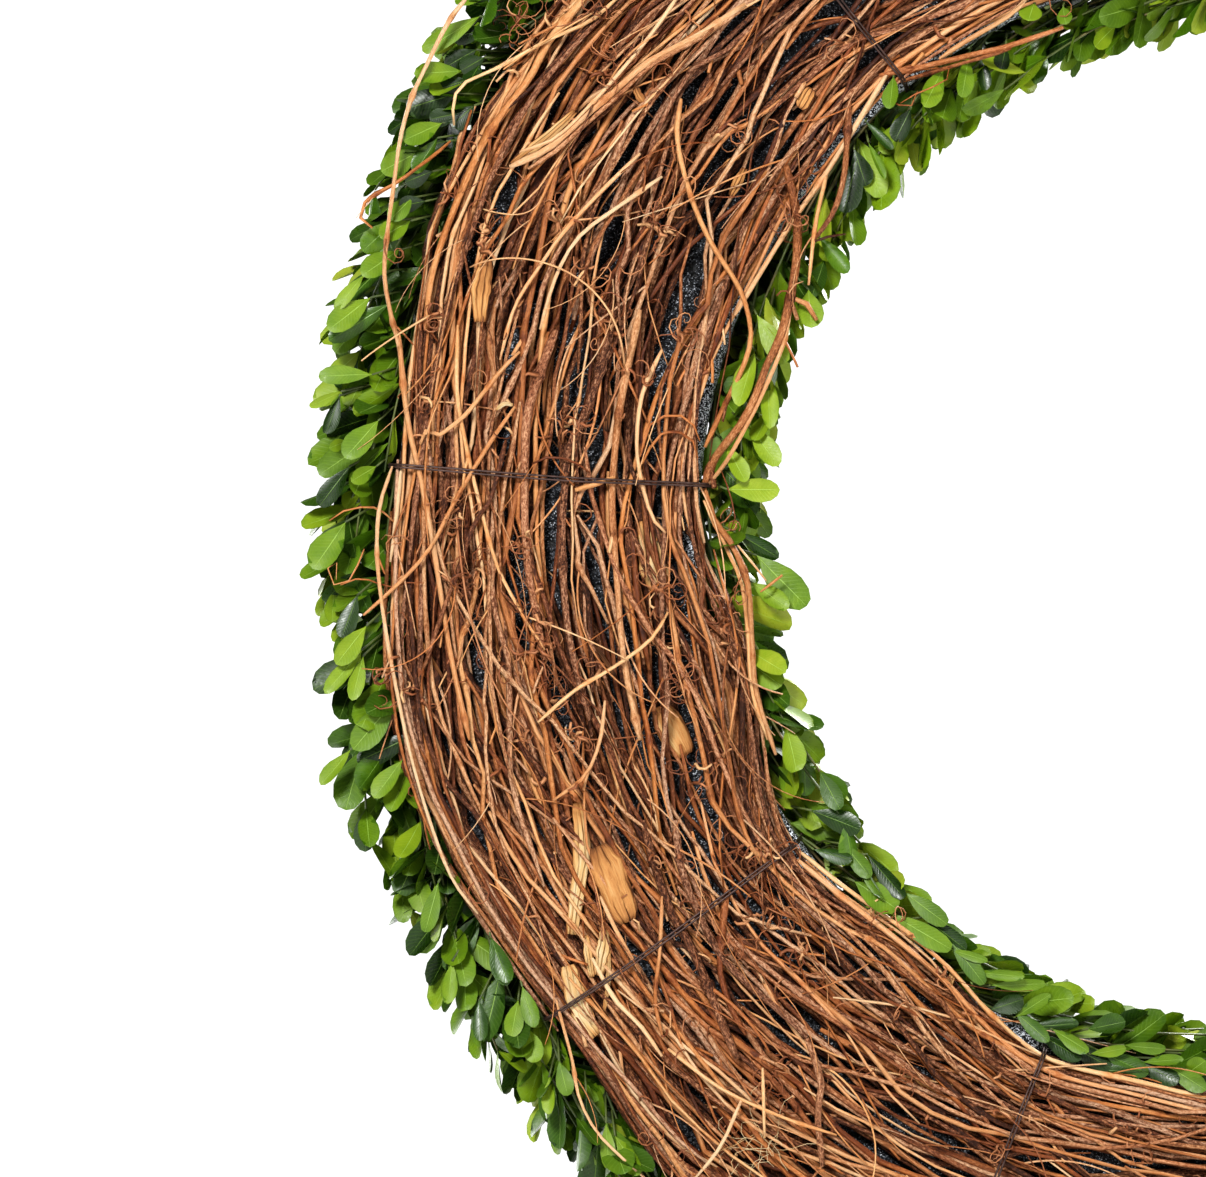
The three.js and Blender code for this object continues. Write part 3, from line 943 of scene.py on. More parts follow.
def add_vine(strands, draw, path, thickness, tone, bark, sides, spacing):
    """A vine with knots. Returns each knot's point, direction and thickness."""
    length = path_length(path)
    knots = knot_places(draw, length, thickness, spacing)
    stations = vine_stations(length, spacing, knots)
    points = resample(path, stations)
    radii = thickness / 2 * (1 - draw.uniform(0, 0.25) * stations / length)
    radii *= 1 + 0.06 * np.sin(stations / (31 * MM) + draw.uniform(0, 6))
    radii *= np.array([1 + draw.gauss(0, 0.05) for _ in stations])
    tones = tone + 0.09 * np.sin(stations / (23 * MM) + draw.uniform(0, 6))
    for knot in knots:
        near = np.exp(-(((stations - knot) / KNOT_LENGTH) ** 2))
        radii *= 1 + draw.uniform(0.15, 0.7) * near
        tones -= KNOT_DARKER * near
    ends = np.minimum(stations, length - stations)
    radii *= lerp(0.6, 1, np.clip(ends / (0.6 * thickness), 0, 1))
    ridge = draw.uniform(0.03, 0.1)
    strands.add(points, radii, sides, tones, bark, ridge, draw.uniform(0, MOST_OFFSET))
    found = []
    for knot in knots:
        pair = resample(path, np.array([knot, min(knot + 1 * MM, length)]))
        found.append((Vector(pair[0]), Vector(pair[1] - pair[0]).normalized(), thickness))
    return found


VINE_KINDS = (
    # count, sweep in degrees, layer, thickness in mm, slope in degrees, tone, bark, sides, and the
    # share that crosses the openings. The tones run darker in the lower layers: painted shade for
    # the vines that lie under the others
    (44, (110, 190), (0.00, 0.20), (2.2, 3.4), 2.5, (0.02, 0.35), (0.6, 1.0), 5, 0.0),
    (116, (70, 130), (0.12, 0.50), (1.4, 2.6), 4, (0.12, 0.60), (0.2, 1.0), 5, 0.0),
    (196, (45, 90), (0.40, 0.85), (1.3, 2.4), 6, (0.20, 0.78), (0.0, 1.0), 5, 0.05),
    (186, (30, 75), (0.60, 1.00), (1.0, 1.9), 9, (0.30, 0.92), (0.0, 0.9), 5, 0.2),
    (84, (14, 36), (0.60, 1.00), (0.6, 1.2), 15, (0.30, 0.90), (0.0, 0.5), 4, 0.5),
)
# The share of dark vines, and their tones
DARK_VINES = 0.16
DARK_TONES = (0.08, 0.35)
# The vines along the mat's two edges: their sweep in degrees, and their thickness in mm
EDGE_VINES = 44
EDGE_SWEEPS = (50, 110)
EDGE_THICKNESSES = (1.3, 2.4)
# How far apart the points along a vine are: near the foam, above, along the edges, in the lanes
# that the photograph shows closed, and on the listed vines
LOW_SPACING = 16 * MM
HIGH_SPACING = 12 * MM
EDGE_SPACING = 11 * MM
LANE_SPACING = 9 * MM
LAID_SPACING = 5 * MM
# The vines laid in each of those lanes: how many pixels aside, how thick in mm, and in what layer
LANE_VINES = 3
LANE_ASIDE = 9
LANE_THICKNESSES = (1.1, 2.3)
LANE_LAYERS = (0.15, 0.6)


def lay_vines(draw):
    """The middle angle, path, thickness, tone, bark, sides and ring spacing of each vine."""
    for count, sweeps, layers, thicknesses, slope, tones, barks, sides, crossing in VINE_KINDS:
        for number in range(count):
            sweep = draw.uniform(*sweeps)
            turn = 360 * (number + draw.random()) / count
            thickness = draw.uniform(*thicknesses) * MM
            layer = draw.uniform(*layers)
            lean, parted = draw.gauss(0, slope), draw.random() > crossing
            path = vine_path(draw, turn, sweep, draw.random(), lean, layer, thickness, parted)
            tone, bark = draw.uniform(*tones), draw.uniform(*barks)
            if draw.random() < DARK_VINES:
                tone, bark = draw.uniform(*DARK_TONES), max(bark, 0.4)
            spacing = LOW_SPACING if layer < 0.25 else HIGH_SPACING
            yield turn - sweep / 2, path, thickness, tone, bark, sides, spacing
    for number in range(EDGE_VINES):
        sweep = draw.uniform(*EDGE_SWEEPS)
        turn = 360 * (number + draw.random()) / EDGE_VINES
        thickness = draw.uniform(*EDGE_THICKNESSES) * MM
        across = number % 2 + (0.5 - number % 2) * draw.uniform(0, 0.16)
        path = vine_path(draw, turn, sweep, across, draw.gauss(0, 1), draw.uniform(0.1, 0.9), thickness)
        tone, bark = draw.uniform(0.25, 0.75), draw.uniform(0, 1)
        yield turn - sweep / 2, path, thickness, tone, bark, 5, EDGE_SPACING


# Vines that stand out in the photograph: pixels from end to end, layer, thickness in mm, tone, bark
LAID_VINES = (
    (((472, -6), (450, 22), (428, 65), (412, 100), (401, 140), (394, 190), (388, 235), (385, 275),
      (391, 314), (399, 350), (405, 410)), 0.9, 1.6, 0.80, 0.3),
    (((450, 140), (428, 160), (400, 182), (372, 198), (361, 211), (363, 223),
      (373, 229)), 0.6, 1.2, 0.55, 0.1),
    (((620, -4), (590, 22), (550, 40), (500, 67), (467, 82), (454, 100),
      (454, 125)), 1.1, 1.4, 0.90, 0.0),
    (((745, 4), (700, 35), (650, 62), (615, 92), (580, 122), (548, 150),
      (510, 168)), 1.1, 2.2, 0.80, 0.3),
    (((740, 12), (698, 40), (652, 66), (618, 97), (584, 127), (556, 152),
      (528, 170)), 1.05, 1.4, 0.60, 0.6),
    (((680, -6), (650, 37), (617, 77), (590, 107), (555, 140), (520, 153)), 1.15, 1.4, 1.00, 0.0),
    (((662, 178), (620, 207), (580, 237), (557, 275), (540, 330)), 1.1, 1.4, 0.90, 0.0),
    (((588, -6), (550, 40), (530, 78), (500, 118), (480, 150), (450, 220), (432, 275),
      (425, 330)), 0.95, 2.6, 0.62, 0.3),
    (((640, 155), (602, 192), (565, 232), (540, 267), (515, 307), (500, 360)), 1.1, 1.5, 0.88, 0.1),
    (((681, 100), (677, 140), (690, 195), (710, 242), (740, 290), (751, 330), (745, 362), (725, 405),
      (705, 447)), 1.1, 1.9, 0.62, 0.3),
    (((398, 330), (407, 417), (422, 485), (432, 537), (442, 600), (452, 660),
      (470, 740)), 1.0, 1.9, 0.70, 0.2),
    (((515, 407), (495, 435), (470, 475), (450, 510), (432, 545), (407, 575),
      (364, 615)), 1.15, 1.5, 0.66, 0.2),
    (((506, 440), (490, 500), (475, 522), (460, 565), (447, 600), (435, 635),
      (424, 668)), 1.1, 1.6, 0.24, 0.6),
    (((662, 350), (642, 395), (637, 450), (645, 495), (655, 522), (666, 533)), 1.0, 1.5, 1.00, 0.0),
    (((575, 490), (595, 484), (615, 477)), 1.15, 2.2, 0.62, 0.0),
    (((612, 330), (590, 402), (570, 445), (565, 485), (562, 537), (565, 600), (572, 650),
      (590, 720)), 0.95, 2.6, 0.40, 0.9),
    (((640, 310), (622, 395), (615, 450), (612, 505), (617, 580), (624, 660),
      (640, 740)), 0.95, 2.4, 0.66, 0.5),
    (((556, 330), (530, 402), (525, 450), (525, 530), (530, 580), (545, 660)), 0.95, 2.9, 0.55, 0.9),
    (((640, 457), (650, 425), (670, 415), (690, 420), (700, 441)), 1.15, 1.0, 0.45, 0.0),
    (((642, 464), (657, 437), (677, 432), (693, 441), (698, 458)), 1.15, 1.0, 0.40, 0.0),
    (((532, 464), (550, 457), (572, 461), (590, 473)), 1.2, 0.8, 0.20, 0.0),
    (((420, 444), (421, 433), (432, 430), (440, 435), (457, 422), (470, 410), (500, 372),
      (520, 352)), 1.15, 1.4, 0.60, 0.1),
    (((392, 466), (380, 505), (377, 547), (380, 590), (386, 630), (392, 665), (410, 750), (430, 820),
      (452, 878), (478, 914)), 1.3, 1.3, 0.92, 0.0),
    (((401, 466), (396, 515), (390, 562)), 0.9, 1.5, 0.90, 0.0),
    (((458, 325), (457, 392), (467, 450), (480, 505), (497, 565), (520, 610),
      (545, 650)), 1.0, 1.4, 0.76, 0.2),
    (((786, 165), (797, 215), (795, 270), (781, 335), (768, 362), (753, 402), (737, 430), (716, 457),
      (704, 486)), 0.9, 3.0, 0.42, 0.5),
    (((792, 290), (784, 340), (764, 390), (744, 430), (726, 462), (709, 484)), 0.95, 1.4, 0.80, 0.0),
    (((850, 100), (847, 150), (842, 185), (832, 215), (812, 243)), 1.0, 2.0, 0.34, 0.5),
    (((810, 244), (826, 238), (845, 235)), 1.0, 1.0, 0.15, 0.3),
    (((365, 549), (352, 578), (338, 587), (330, 575), (329, 563), (335, 559), (339, 568),
      (337, 580)), 0.9, 0.6, 0.50, 0.0),
    (((341, 585), (356, 579), (370, 580), (384, 586), (397, 587), (410, 582),
      (424, 583)), 0.9, 0.6, 0.45, 0.0),
    (((330, 521), (338, 514), (352, 509), (371, 507), (383, 512), (394, 522)), 0.9, 0.7, 0.45, 0.0),
    (((900, 104), (915, 95), (933, 88), (947, 80), (952, 72), (940, 68), (922, 69)), 0.9, 0.5, 0.40, 0.0),
    (((880, 92), (892, 100), (905, 110), (912, 105), (917, 92)), 0.9, 0.5, 0.40, 0.0),
    (((721, 470), (729, 492), (735, 520), (730, 532)), 0.9, 0.5, 0.20, 0.3),
    (((887, 74), (855, 127), (825, 175), (790, 225), (752, 287), (735, 315)), 0.95, 1.9, 0.90, 0.1),
    (((828, 170), (815, 225), (808, 286)), 0.8, 1.4, 0.86, 0.0),
    (((790, 298), (803, 301), (816, 321)), 0.8, 2.0, 0.55, 0.2),
    (((880, 74), (940, 62), (990, 52), (1015, 45), (1062, 29)), 0.9, 2.0, 0.55, 0.4),
    (((890, 82), (940, 70), (985, 58), (1010, 50)), 0.7, 1.5, 0.40, 0.4),
    (((940, 58), (965, 41), (1010, 15), (1030, -6)), 1.05, 1.9, 0.84, 0.1),
    (((705, 488), (715, 520), (732, 545), (745, 575), (750, 605), (753, 660), (757, 695),
      (776, 755)), 0.9, 1.9, 0.56, 0.3),
    (((704, 500), (730, 555), (742, 585), (748, 630), (752, 690), (768, 740)), 0.8, 1.4, 0.84, 0.0),
    (((737, 545), (755, 567), (766, 581)), 1.0, 1.0, 0.85, 0.0),
    (((782, 575), (760, 592)), 1.1, 1.2, 0.62, 0.0),
    (((668, 612), (650, 640), (612, 668), (575, 690), (538, 722)), 1.15, 1.4, 0.86, 0.0),
    (((605, 700), (600, 740), (585, 775), (553, 800)), 1.15, 1.3, 0.72, 0.0),
    (((800, 852), (843, 886), (907, 932), (953, 972), (993, 1016), (1050, 1060), (1143, 1083),
      (1206, 1098)), 0.9, 1.6, 0.86, 0.1),
    (((798, 860), (838, 894), (900, 942), (948, 984), (988, 1028), (1046, 1071), (1140, 1096),
      (1206, 1112)), 0.95, 1.8, 0.74, 0.3),
    (((600, 896), (617, 932), (640, 972)), 1.1, 1.4, 0.82, 0.0),
    (((592, 958), (615, 1000), (640, 1025), (662, 1056)), 1.1, 1.6, 0.96, 0.0),
    (((662, 896), (660, 950), (655, 1000), (663, 1038)), 1.1, 1.3, 0.58, 0.0),
    (((727, 890), (722, 937), (720, 970), (730, 1005), (746, 1034)), 1.05, 2.2, 0.40, 0.4),
    (((668, 1048), (710, 1080), (740, 1097), (787, 1117), (836, 1133)), 1.15, 1.3, 0.72, 0.0),
    (((741, 1098), (720, 1145), (694, 1178)), 1.15, 1.3, 1.00, 0.0),
    (((762, 1066), (763, 1100), (764, 1136)), 1.15, 1.2, 0.82, 0.0),
    (((556, 1000), (564, 1030), (572, 1060), (579, 1096), (595, 1128), (620, 1155),
      (650, 1182)), 1.2, 1.1, 0.80, 0.0),
    (((675, 820), (682, 870), (700, 916), (718, 951), (745, 981), (791, 1020),
      (806, 1037)), 1.05, 2.5, 0.46, 0.8),
    (((806, 1037), (815, 1060), (821, 1085), (817, 1112), (822, 1165)), 1.1, 2.7, 0.56, 0.7),
    (((643, 820), (654, 862), (671, 912), (689, 943), (706, 981), (721, 1020),
      (737, 1058)), 1.05, 2.8, 0.34, 0.9),
)


# Where the photograph shows more vines side by side: pixels along them
CLOSED_LANES = (
    ((488, 650), (510, 730), (540, 815), (585, 900)), ((500, 640), (525, 730), (556, 815), (600, 900)),
    ((596, 730), (616, 790), (640, 850), (680, 925)), ((632, 750), (648, 800), (668, 860), (700, 930)),
    ((640, 1000), (672, 1055), (725, 1105), (790, 1155)), ((655, 985), (690, 1045), (745, 1095),
      (815, 1145)),
    ((800, 985), (860, 1030), (930, 1065), (1010, 1095)), ((860, 985), (920, 1035), (985, 1075),
      (1080, 1105)),
    ((545, 185), (600, 140), (640, 95), (680, 40)), ((620, 195), (655, 150), (690, 120), (730, 60)),
    ((800, 110), (840, 70), (880, 35), (915, 10)), ((770, 190), (790, 140), (820, 90), (860, 50)),
    ((520, 230), (540, 180), (565, 140), (590, 105)), ((590, 70), (620, 30), (650, -5), (670, -25)),
    ((548, 280), (537, 335), (529, 400), (525, 450)), ((484, 280), (474, 340), (467, 400), (464, 450)),
    ((455, 560), (462, 640), (478, 720), (500, 790)), ((614, 480), (620, 540), (630, 600), (645, 665)),
    ((572, 590), (582, 640), (596, 690), (612, 740)), ((690, 600), (702, 665), (722, 735), (750, 800)),
    ((724, 730), (744, 795), (776, 860), (810, 905)), ((572, 885), (596, 925), (620, 965), (650, 1010)),
    ((830, 900), (880, 950), (930, 990), (985, 1020)), ((800, 960), (850, 1010), (905, 1045),
      (965, 1070)),
    ((1030, 1110), (1095, 1124), (1160, 1133), (1220, 1136)), ((1040, 1130), (1100, 1142),
      (1160, 1150), (1220, 1152)),
)


def through(points, steps=7):
    """A smooth path through points."""
    points = [np.array(point, dtype=float) for point in points]
    points = [2 * points[0] - points[1], *points, 2 * points[-1] - points[-2]]
    path = []
    for before, here, there, after in zip(points, points[1:], points[2:], points[3:]):
        for share in np.arange(steps) / steps:
            bend = 2 * before - 5 * here + 4 * there - after
            turn = 3 * here - before - 3 * there + after
            path.append(here + 0.5 * share * (there - before + share * (bend + share * turn)))
    path.append(points[-2])
    return np.array(path)


def laid_path(pixels, layer, thickness):
    """The path of a listed vine: pressed under the wires like the others, and lifted over
    the leaves past the mat's edges."""
    path = through([photo_point(pixel) for pixel in pixels])
    for point in path:
        angle, radius = ring_place(point)
        inner, outer = mat_edges(angle)
        depth = mat_depth(angle, (radius - inner) / (outer - inner), layer, thickness)
        beyond = max(inner - radius, radius - outer, 0)
        point[1] = lerp(depth, max(depth, OVER_LEAVES), min(1, beyond / RISE))
    return path


def nearest_wire(angle):
    return min(range(len(WIRE_ANGLES)), key=lambda i: abs(turn_between(angle, WIRE_ANGLES[i])))


def middle_angle(path):
    return ring_place(path[len(path) // 2])[0]


# A trailing path: its longest step in mm, the most that it turns in one step in radians, and how
# late along it the bend tightens
TRAIL_STEP = 3.4
TRAIL_TURN = 0.75
TRAIL_LATE = 1.6
# The share of side shoots that are cut to stubs, the share of knots with a shoot, and how far over
# the foam's back a knot with one lies
STUBS = 0.5
SHOOTS = 0.4
SHOOTS_FROM = 4 * MM
# A stub and a shoot: its length in mm, its thickness as a share of the vine's, and the radius of its
# tip as a share of its own thickness
STUB = ((3.5, 8), (0.45, 0.8), 0.4)
SHOOT = ((16, 60), (0.25, 0.5), 0.28)


def trail(start, heading, axis, length, first_bend, last_bend, lean=0.0):
    """A path that sets out along a heading and curls tighter about an axis as it goes.
    The bends are in radians for each millimetre."""
    points = [start]
    travelled = 0.0
    while travelled < length:
        bend = lerp(first_bend, last_bend, (travelled / length) ** TRAIL_LATE)
        step = min(TRAIL_STEP, TRAIL_TURN / max(abs(bend), 0.01))
        heading = Matrix.Rotation(bend * step, 3, axis) @ heading
        onward = points[-1] + (heading + axis * lean) * (step * MM)
        onward.y = min(max(onward.y, FOAM_BACK + 0.5 * MM), MAT_HIGHEST - 0.6 * MM)
        strayed = not MAT_INNER - STRAY < ring_place(onward)[1] < MAT_OUTER + STRAY
        if strayed and len(points) > 3:
            break
        points.append(onward)
        travelled += step * MM
    return np.array(points)


def add_shoot(strands, draw, knot):
    """A side shoot or a cut stub that leaves a vine at a knot."""
    foot, along, thickness = knot
    turn = draw.choice((-1, 1)) * draw.uniform(0.25, 0.8)
    away = Matrix.Rotation(turn, 3, "Y") @ along
    away = (away + Vector((0, draw.uniform(0, 0.35), 0))).normalized()
    lengths, shares, tip = STUB if draw.random() < STUBS else SHOOT
    length = draw.uniform(*lengths) * MM
    bend = -turn / 40 + draw.gauss(0, 0.01)
    path = trail(foot, away, Vector((0, 1, 0)), length, bend, bend)
    thick = thickness * draw.uniform(*shares)
    radii = np.linspace(thick / 2, thick * tip, len(path))
    tone, bark = draw.uniform(0.25, 0.9), draw.uniform(0, 0.7)
    strands.add(path, radii, 6, tone, bark, offset=draw.uniform(0, MOST_OFFSET))


def make_vines(material):
    """The vines of each bundle, in the bundle whose wire is nearest. Returns their knots."""
    draw = random.Random(SEED)
    bundles = [Strands() for _ in BUNDLE_NODES]
    knots = [[] for _ in BUNDLE_NODES]

    def place_vine(middle, *vine):
        bundle = nearest_wire(middle)
        knots[bundle] += add_vine(bundles[bundle], draw, *vine)

    for vine in lay_vines(draw):
        place_vine(*vine)
    for pixels, layer, thickness, tone, bark in LAID_VINES:
        path = laid_path(pixels, layer, thickness * MM)
        place_vine(middle_angle(path), path, thickness * MM, tone, bark, 7, LAID_SPACING)
    for lane in CLOSED_LANES:
        for _ in range(LANE_VINES):
            aside = draw.uniform(-LANE_ASIDE, LANE_ASIDE)
            thickness = draw.uniform(*LANE_THICKNESSES) * MM
            pixels = [(u + aside + draw.gauss(0, 3), v + draw.gauss(0, 5)) for u, v in lane]
            path = laid_path(pixels, draw.uniform(*LANE_LAYERS), thickness)
            tone, bark = draw.uniform(0.2, 0.75), draw.uniform(0, 1)
            place_vine(middle_angle(path), path, thickness, tone, bark, 5, LANE_SPACING)
    for number, (node, strands) in enumerate(zip(BUNDLE_NODES, bundles)):
        for knot in knots[number]:
            if knot[0].y > FOAM_BACK + SHOOTS_FROM and draw.random() < SHOOTS:
                add_shoot(strands, draw, knot)
        strands.add_piece(f"vines_{number + 1}", material, "vine", [node])
    return knots


# Binding wires

# A strand's radius, how far each lies from the wire's middle, the lengths over which they twist and
# the wire sways, and the points along it
WIRE_RADIUS = 0.38 * MM
WIRE_APART = 0.42 * MM
WIRE_TWIST = 26 * MM
WIRE_SWAY = 19 * MM
WIRE_POINTS = 120
# How far a wire stands off the foam, the mat's top and the mat's edges
WIRE_OFF_FOAM = 0.9 * MM
WIRE_OFF_TOP = 0.8 * MM
WIRE_OFF_EDGE = 0.6 * MM
# Places over the mat from rim to hole, closer where the wire bends round its edges
OVER_MAT = (0, 0.004, 0.016, 0.04, *np.linspace(0.08, 0.92, 15), 0.96, 0.984, 0.996, 1)


def wire_outline(angle):
    """The wire's loop round foam and vines, as distance from the ring's middle and depth."""
    wide, deep = FOAM_HALF + WIRE_OFF_FOAM, FOAM_FRONT - WIRE_OFF_FOAM - FOAM_SHOULDER
    outline = arc(FOAM_MIDDLE, FOAM_SHOULDER, wide, deep, 180, 0, 20)
    inner, outer = mat_edges(angle)
    for share in OVER_MAT:
        radius = lerp(outer + WIRE_OFF_EDGE, inner - WIRE_OFF_EDGE, share)
        rise = min(1, 0.3 + 0.7 * math.sqrt((1 - abs(2 * share - 1)) * 16))
        height = rise * (mat_height(angle, 1 - share) + WIRE_OFF_TOP)
        outline.append((radius, FOAM_BACK + TOUCH + height))
    bend = SHOULDER + WIRE_OFF_FOAM
    for radius, depth in arc(FOAM_INNER + SHOULDER, FOAM_SHOULDER, bend, bend, 105, 157, 4):
        if radius < inner - 1 * MM:
            outline.append((radius, depth))
    return outline


def make_wires(material):
    """Each wire is two thin strands laid side by side and twisted a little."""
    for number, angle in enumerate(WIRE_ANGLES):
        draw = random.Random(SEED + 40 + number)
        loop = np.array([ring_point(angle, radius, depth) for radius, depth in wire_outline(angle)])
        loop = np.concatenate([loop, loop[:2]])
        lengths = np.linspace(0, path_length(loop), WIRE_POINTS)
        middle = resample(loop, lengths)
        sideways = np.array(ring_point(angle + 90, 1, 0) - CENTRE)
        wobble = 0.5 * MM * np.sin(lengths / WIRE_SWAY + number)
        strands = Strands()
        for hand in (-1, 1):
            twist = lengths / WIRE_TWIST + draw.uniform(0, 1)
            apart = hand * (WIRE_APART + 0.12 * MM * np.sin(twist))
            path = middle + np.outer(apart + wobble, sideways)
            path[:, 1] += hand * 0.16 * MM * np.cos(twist)
            strands.add(path, WIRE_RADIUS, 5, 0.5, 0.0, offset=draw.uniform(0, 5))
        strands.add_piece(f"wire_{number + 1}", material, "wire", [WIRE_NODES[number]])


# Tendrils

TENDRIL_KINDS = (
    # share, length in mm, first and last bend in radians for each mm, thickness in mm, tone
    (0.36, (10, 26), (0.04, 0.25), (0.45, 0.95), (0.40, 0.58), (0.0, 0.65)),
    (0.26, (5, 14), (0.15, 0.45), (0.10, 0.70), (0.40, 0.66), (0.0, 0.75)),
    (0.03, (30, 80), (0.00, 0.02), (0.02, 0.06), (0.50, 0.90), (0.2, 1.0)),
    (0.35, (2.5, 7), (0.10, 0.50), (0.20, 0.70), (0.80, 1.60), (0.1, 0.9)),
)
# The tendrils that spring from knots, how far over the foam's back those lie, the share that grows
# in tufts, and the knots for each knot with a tuft
TENDRILS = 1500
TENDRILS_FROM = 5 * MM
TUFT_SHARE = 0.4
KNOTS_FOR_TUFT = 14
# Photograph pixels where the tendrils are thickest, with the tendrils and pixels of each tuft
TUFT_TENDRILS = 13
TUFT_SPREAD = 12
TUFTS = (
    (632, 370), (570, 420), (535, 650), (672, 680), (580, 745), (515, 550), (465, 575), (725, 625),
    (705, 775), (680, 340), (612, 330), (602, 65), (512, 25), (780, 205), (440, 310), (480, 240),
    (745, 850), (775, 842), (762, 920), (780, 1080), (420, 405), (660, 225), (560, 230), (655, 600),
)


def add_tendril(strands, draw, knot):
    """A tendril that springs from a knot: a curl, a crook, a long arc or a crumb."""
    pick = draw.random()
    for share, lengths, first, last, thicknesses, tones in TENDRIL_KINDS:
        if pick < share:
            break
        pick -= share
    foot, along, thickness = knot
    tilt = Vector((draw.gauss(0, 0.9), draw.choice((-1, 1)), draw.gauss(0, 0.9))).normalized()
    away = Matrix.Rotation(draw.uniform(-1.5, 1.5), 3, "Y") @ (along * draw.choice((-1, 1)))
    away = (away - tilt * away.dot(tilt)).normalized()
    start = foot + Vector((0, draw.uniform(-0.3, 1.0) * thickness, 0))
    length = draw.uniform(*lengths) * MM
    path = trail(start, away, tilt, length, draw.uniform(*first), draw.uniform(*last), draw.gauss(0, 0.12))
    thick = draw.uniform(*thicknesses) * MM
    radii = np.linspace(thick / 2, thick * 0.3, len(path))
    strands.add(path, radii, 4, draw.uniform(*tones), 0.0, offset=draw.uniform(0, MOST_OFFSET))


def tuft_knots(draw, pixel):
    """A few places close together on top of the mat, for the tendrils of one tuft."""
    found = []
    for _ in range(3):
        foot = photo_point([place + draw.uniform(-TUFT_SPREAD, TUFT_SPREAD) for place in pixel])
        angle, radius = ring_place(foot)
        inner, outer = mat_edges(angle)
        foot.y = mat_depth(angle, (radius - inner) / (outer - inner), 0.85, 1 * MM)
        found.append((foot, (ring_point(angle - 90, 1, 0) - CENTRE).normalized(), 1 * MM))
    return found


def make_tendrils(material, knots):
    """Tendrils caught all over the mat, many of them in tufts at the knots near its top."""
    draw = random.Random(SEED + 2)
    every = sum(len(found) for found in knots)
    for number, found in enumerate(knots):
        strands = Strands()
        near_top = [knot for knot in found if knot[0].y > FOAM_BACK + TENDRILS_FROM]
        tufts = draw.sample(near_top, len(near_top) // KNOTS_FOR_TUFT)
        for _ in range(TENDRILS * len(found) // every):
            add_tendril(strands, draw, draw.choice(tufts if draw.random() < TUFT_SHARE else near_top))
        for pixel in TUFTS:
            if nearest_wire(pixel_place(pixel)[0]) == number:
                places = tuft_knots(draw, pixel)
                for _ in range(TUFT_TENDRILS):
                    add_tendril(strands, draw, draw.choice(places))
        strands.add_piece(f"tendrils_{number + 1}", material, "vine")


# Dried scraps

# Photograph pixels along each scrap's middle, width in mm, how far it is folded, tone and layer
SCRAPS = (
    (((598, 846), (607, 866), (616, 890), (628, 922)), 11.0, 0.14, 0.60, 0.85),
    (((577, 803), (583, 850), (577, 900), (572, 935)), 5.6, 0.10, 0.82, 0.70),
    (((568, 966), (577, 1000), (586, 1022), (597, 1036)), 7.0, 0.06, 0.88, 0.85),
    (((586, 936), (589, 960), (592, 978)), 2.6, 0.05, 0.82, 0.8),
    (((604, 930), (603, 950), (598, 976)), 4.6, 0.10, 0.84, 0.8),
    (((609, 952), (608, 985), (604, 1012)), 1.8, 0.05, 0.80, 0.8),
    (((648, 520), (653, 550), (658, 590)), 9.5, 0.06, 0.78, 0.50),
    (((660, 706), (672, 730), (686, 756)), 9.0, 0.06, 0.62, 0.28),
    (((487, 260), (481, 290), (480, 322)), 6.5, 0.15, 0.56, 0.95),
    (((575, 112), (550, 135), (512, 165)), 3.4, 0.10, 0.66, 0.85),
    (((812, 88), (806, 98), (800, 108)), 5.0, 0.10, 0.50, 0.8),
    (((745, 168), (738, 182), (731, 196)), 3.4, 0.25, 0.52, 0.7),
    (((636, 88), (639, 96), (645, 104)), 2.8, 0.25, 0.40, 0.85),
    (((496, 410), (504, 404), (513, 405)), 1.6, 0.35, 1.10, 1.0),
    (((905, 1075), (925, 1085), (950, 1092)), 3.0, 0.12, 0.50, 0.6),
    (((956, 972), (951, 982), (947, 992)), 2.6, 0.12, 0.70, 0.6),
)
LOOSE_SCRAPS = 30
# A scrap lies where the middle of a vine this thick would
SCRAP_LIES = 1.2 * MM
SCRAP_THICKNESS = 0.3 * MM
SCRAP_ROWS = 13
SCRAP_COLUMNS = 9
# The pale fibres: where the photograph shows them, how far they reach in pixels, and their number
WISPS_PIXEL = (758, 1148)
WISPS_REACH = (16, 8)
WISPS = 22
WISP_RADIUS = 0.1 * MM


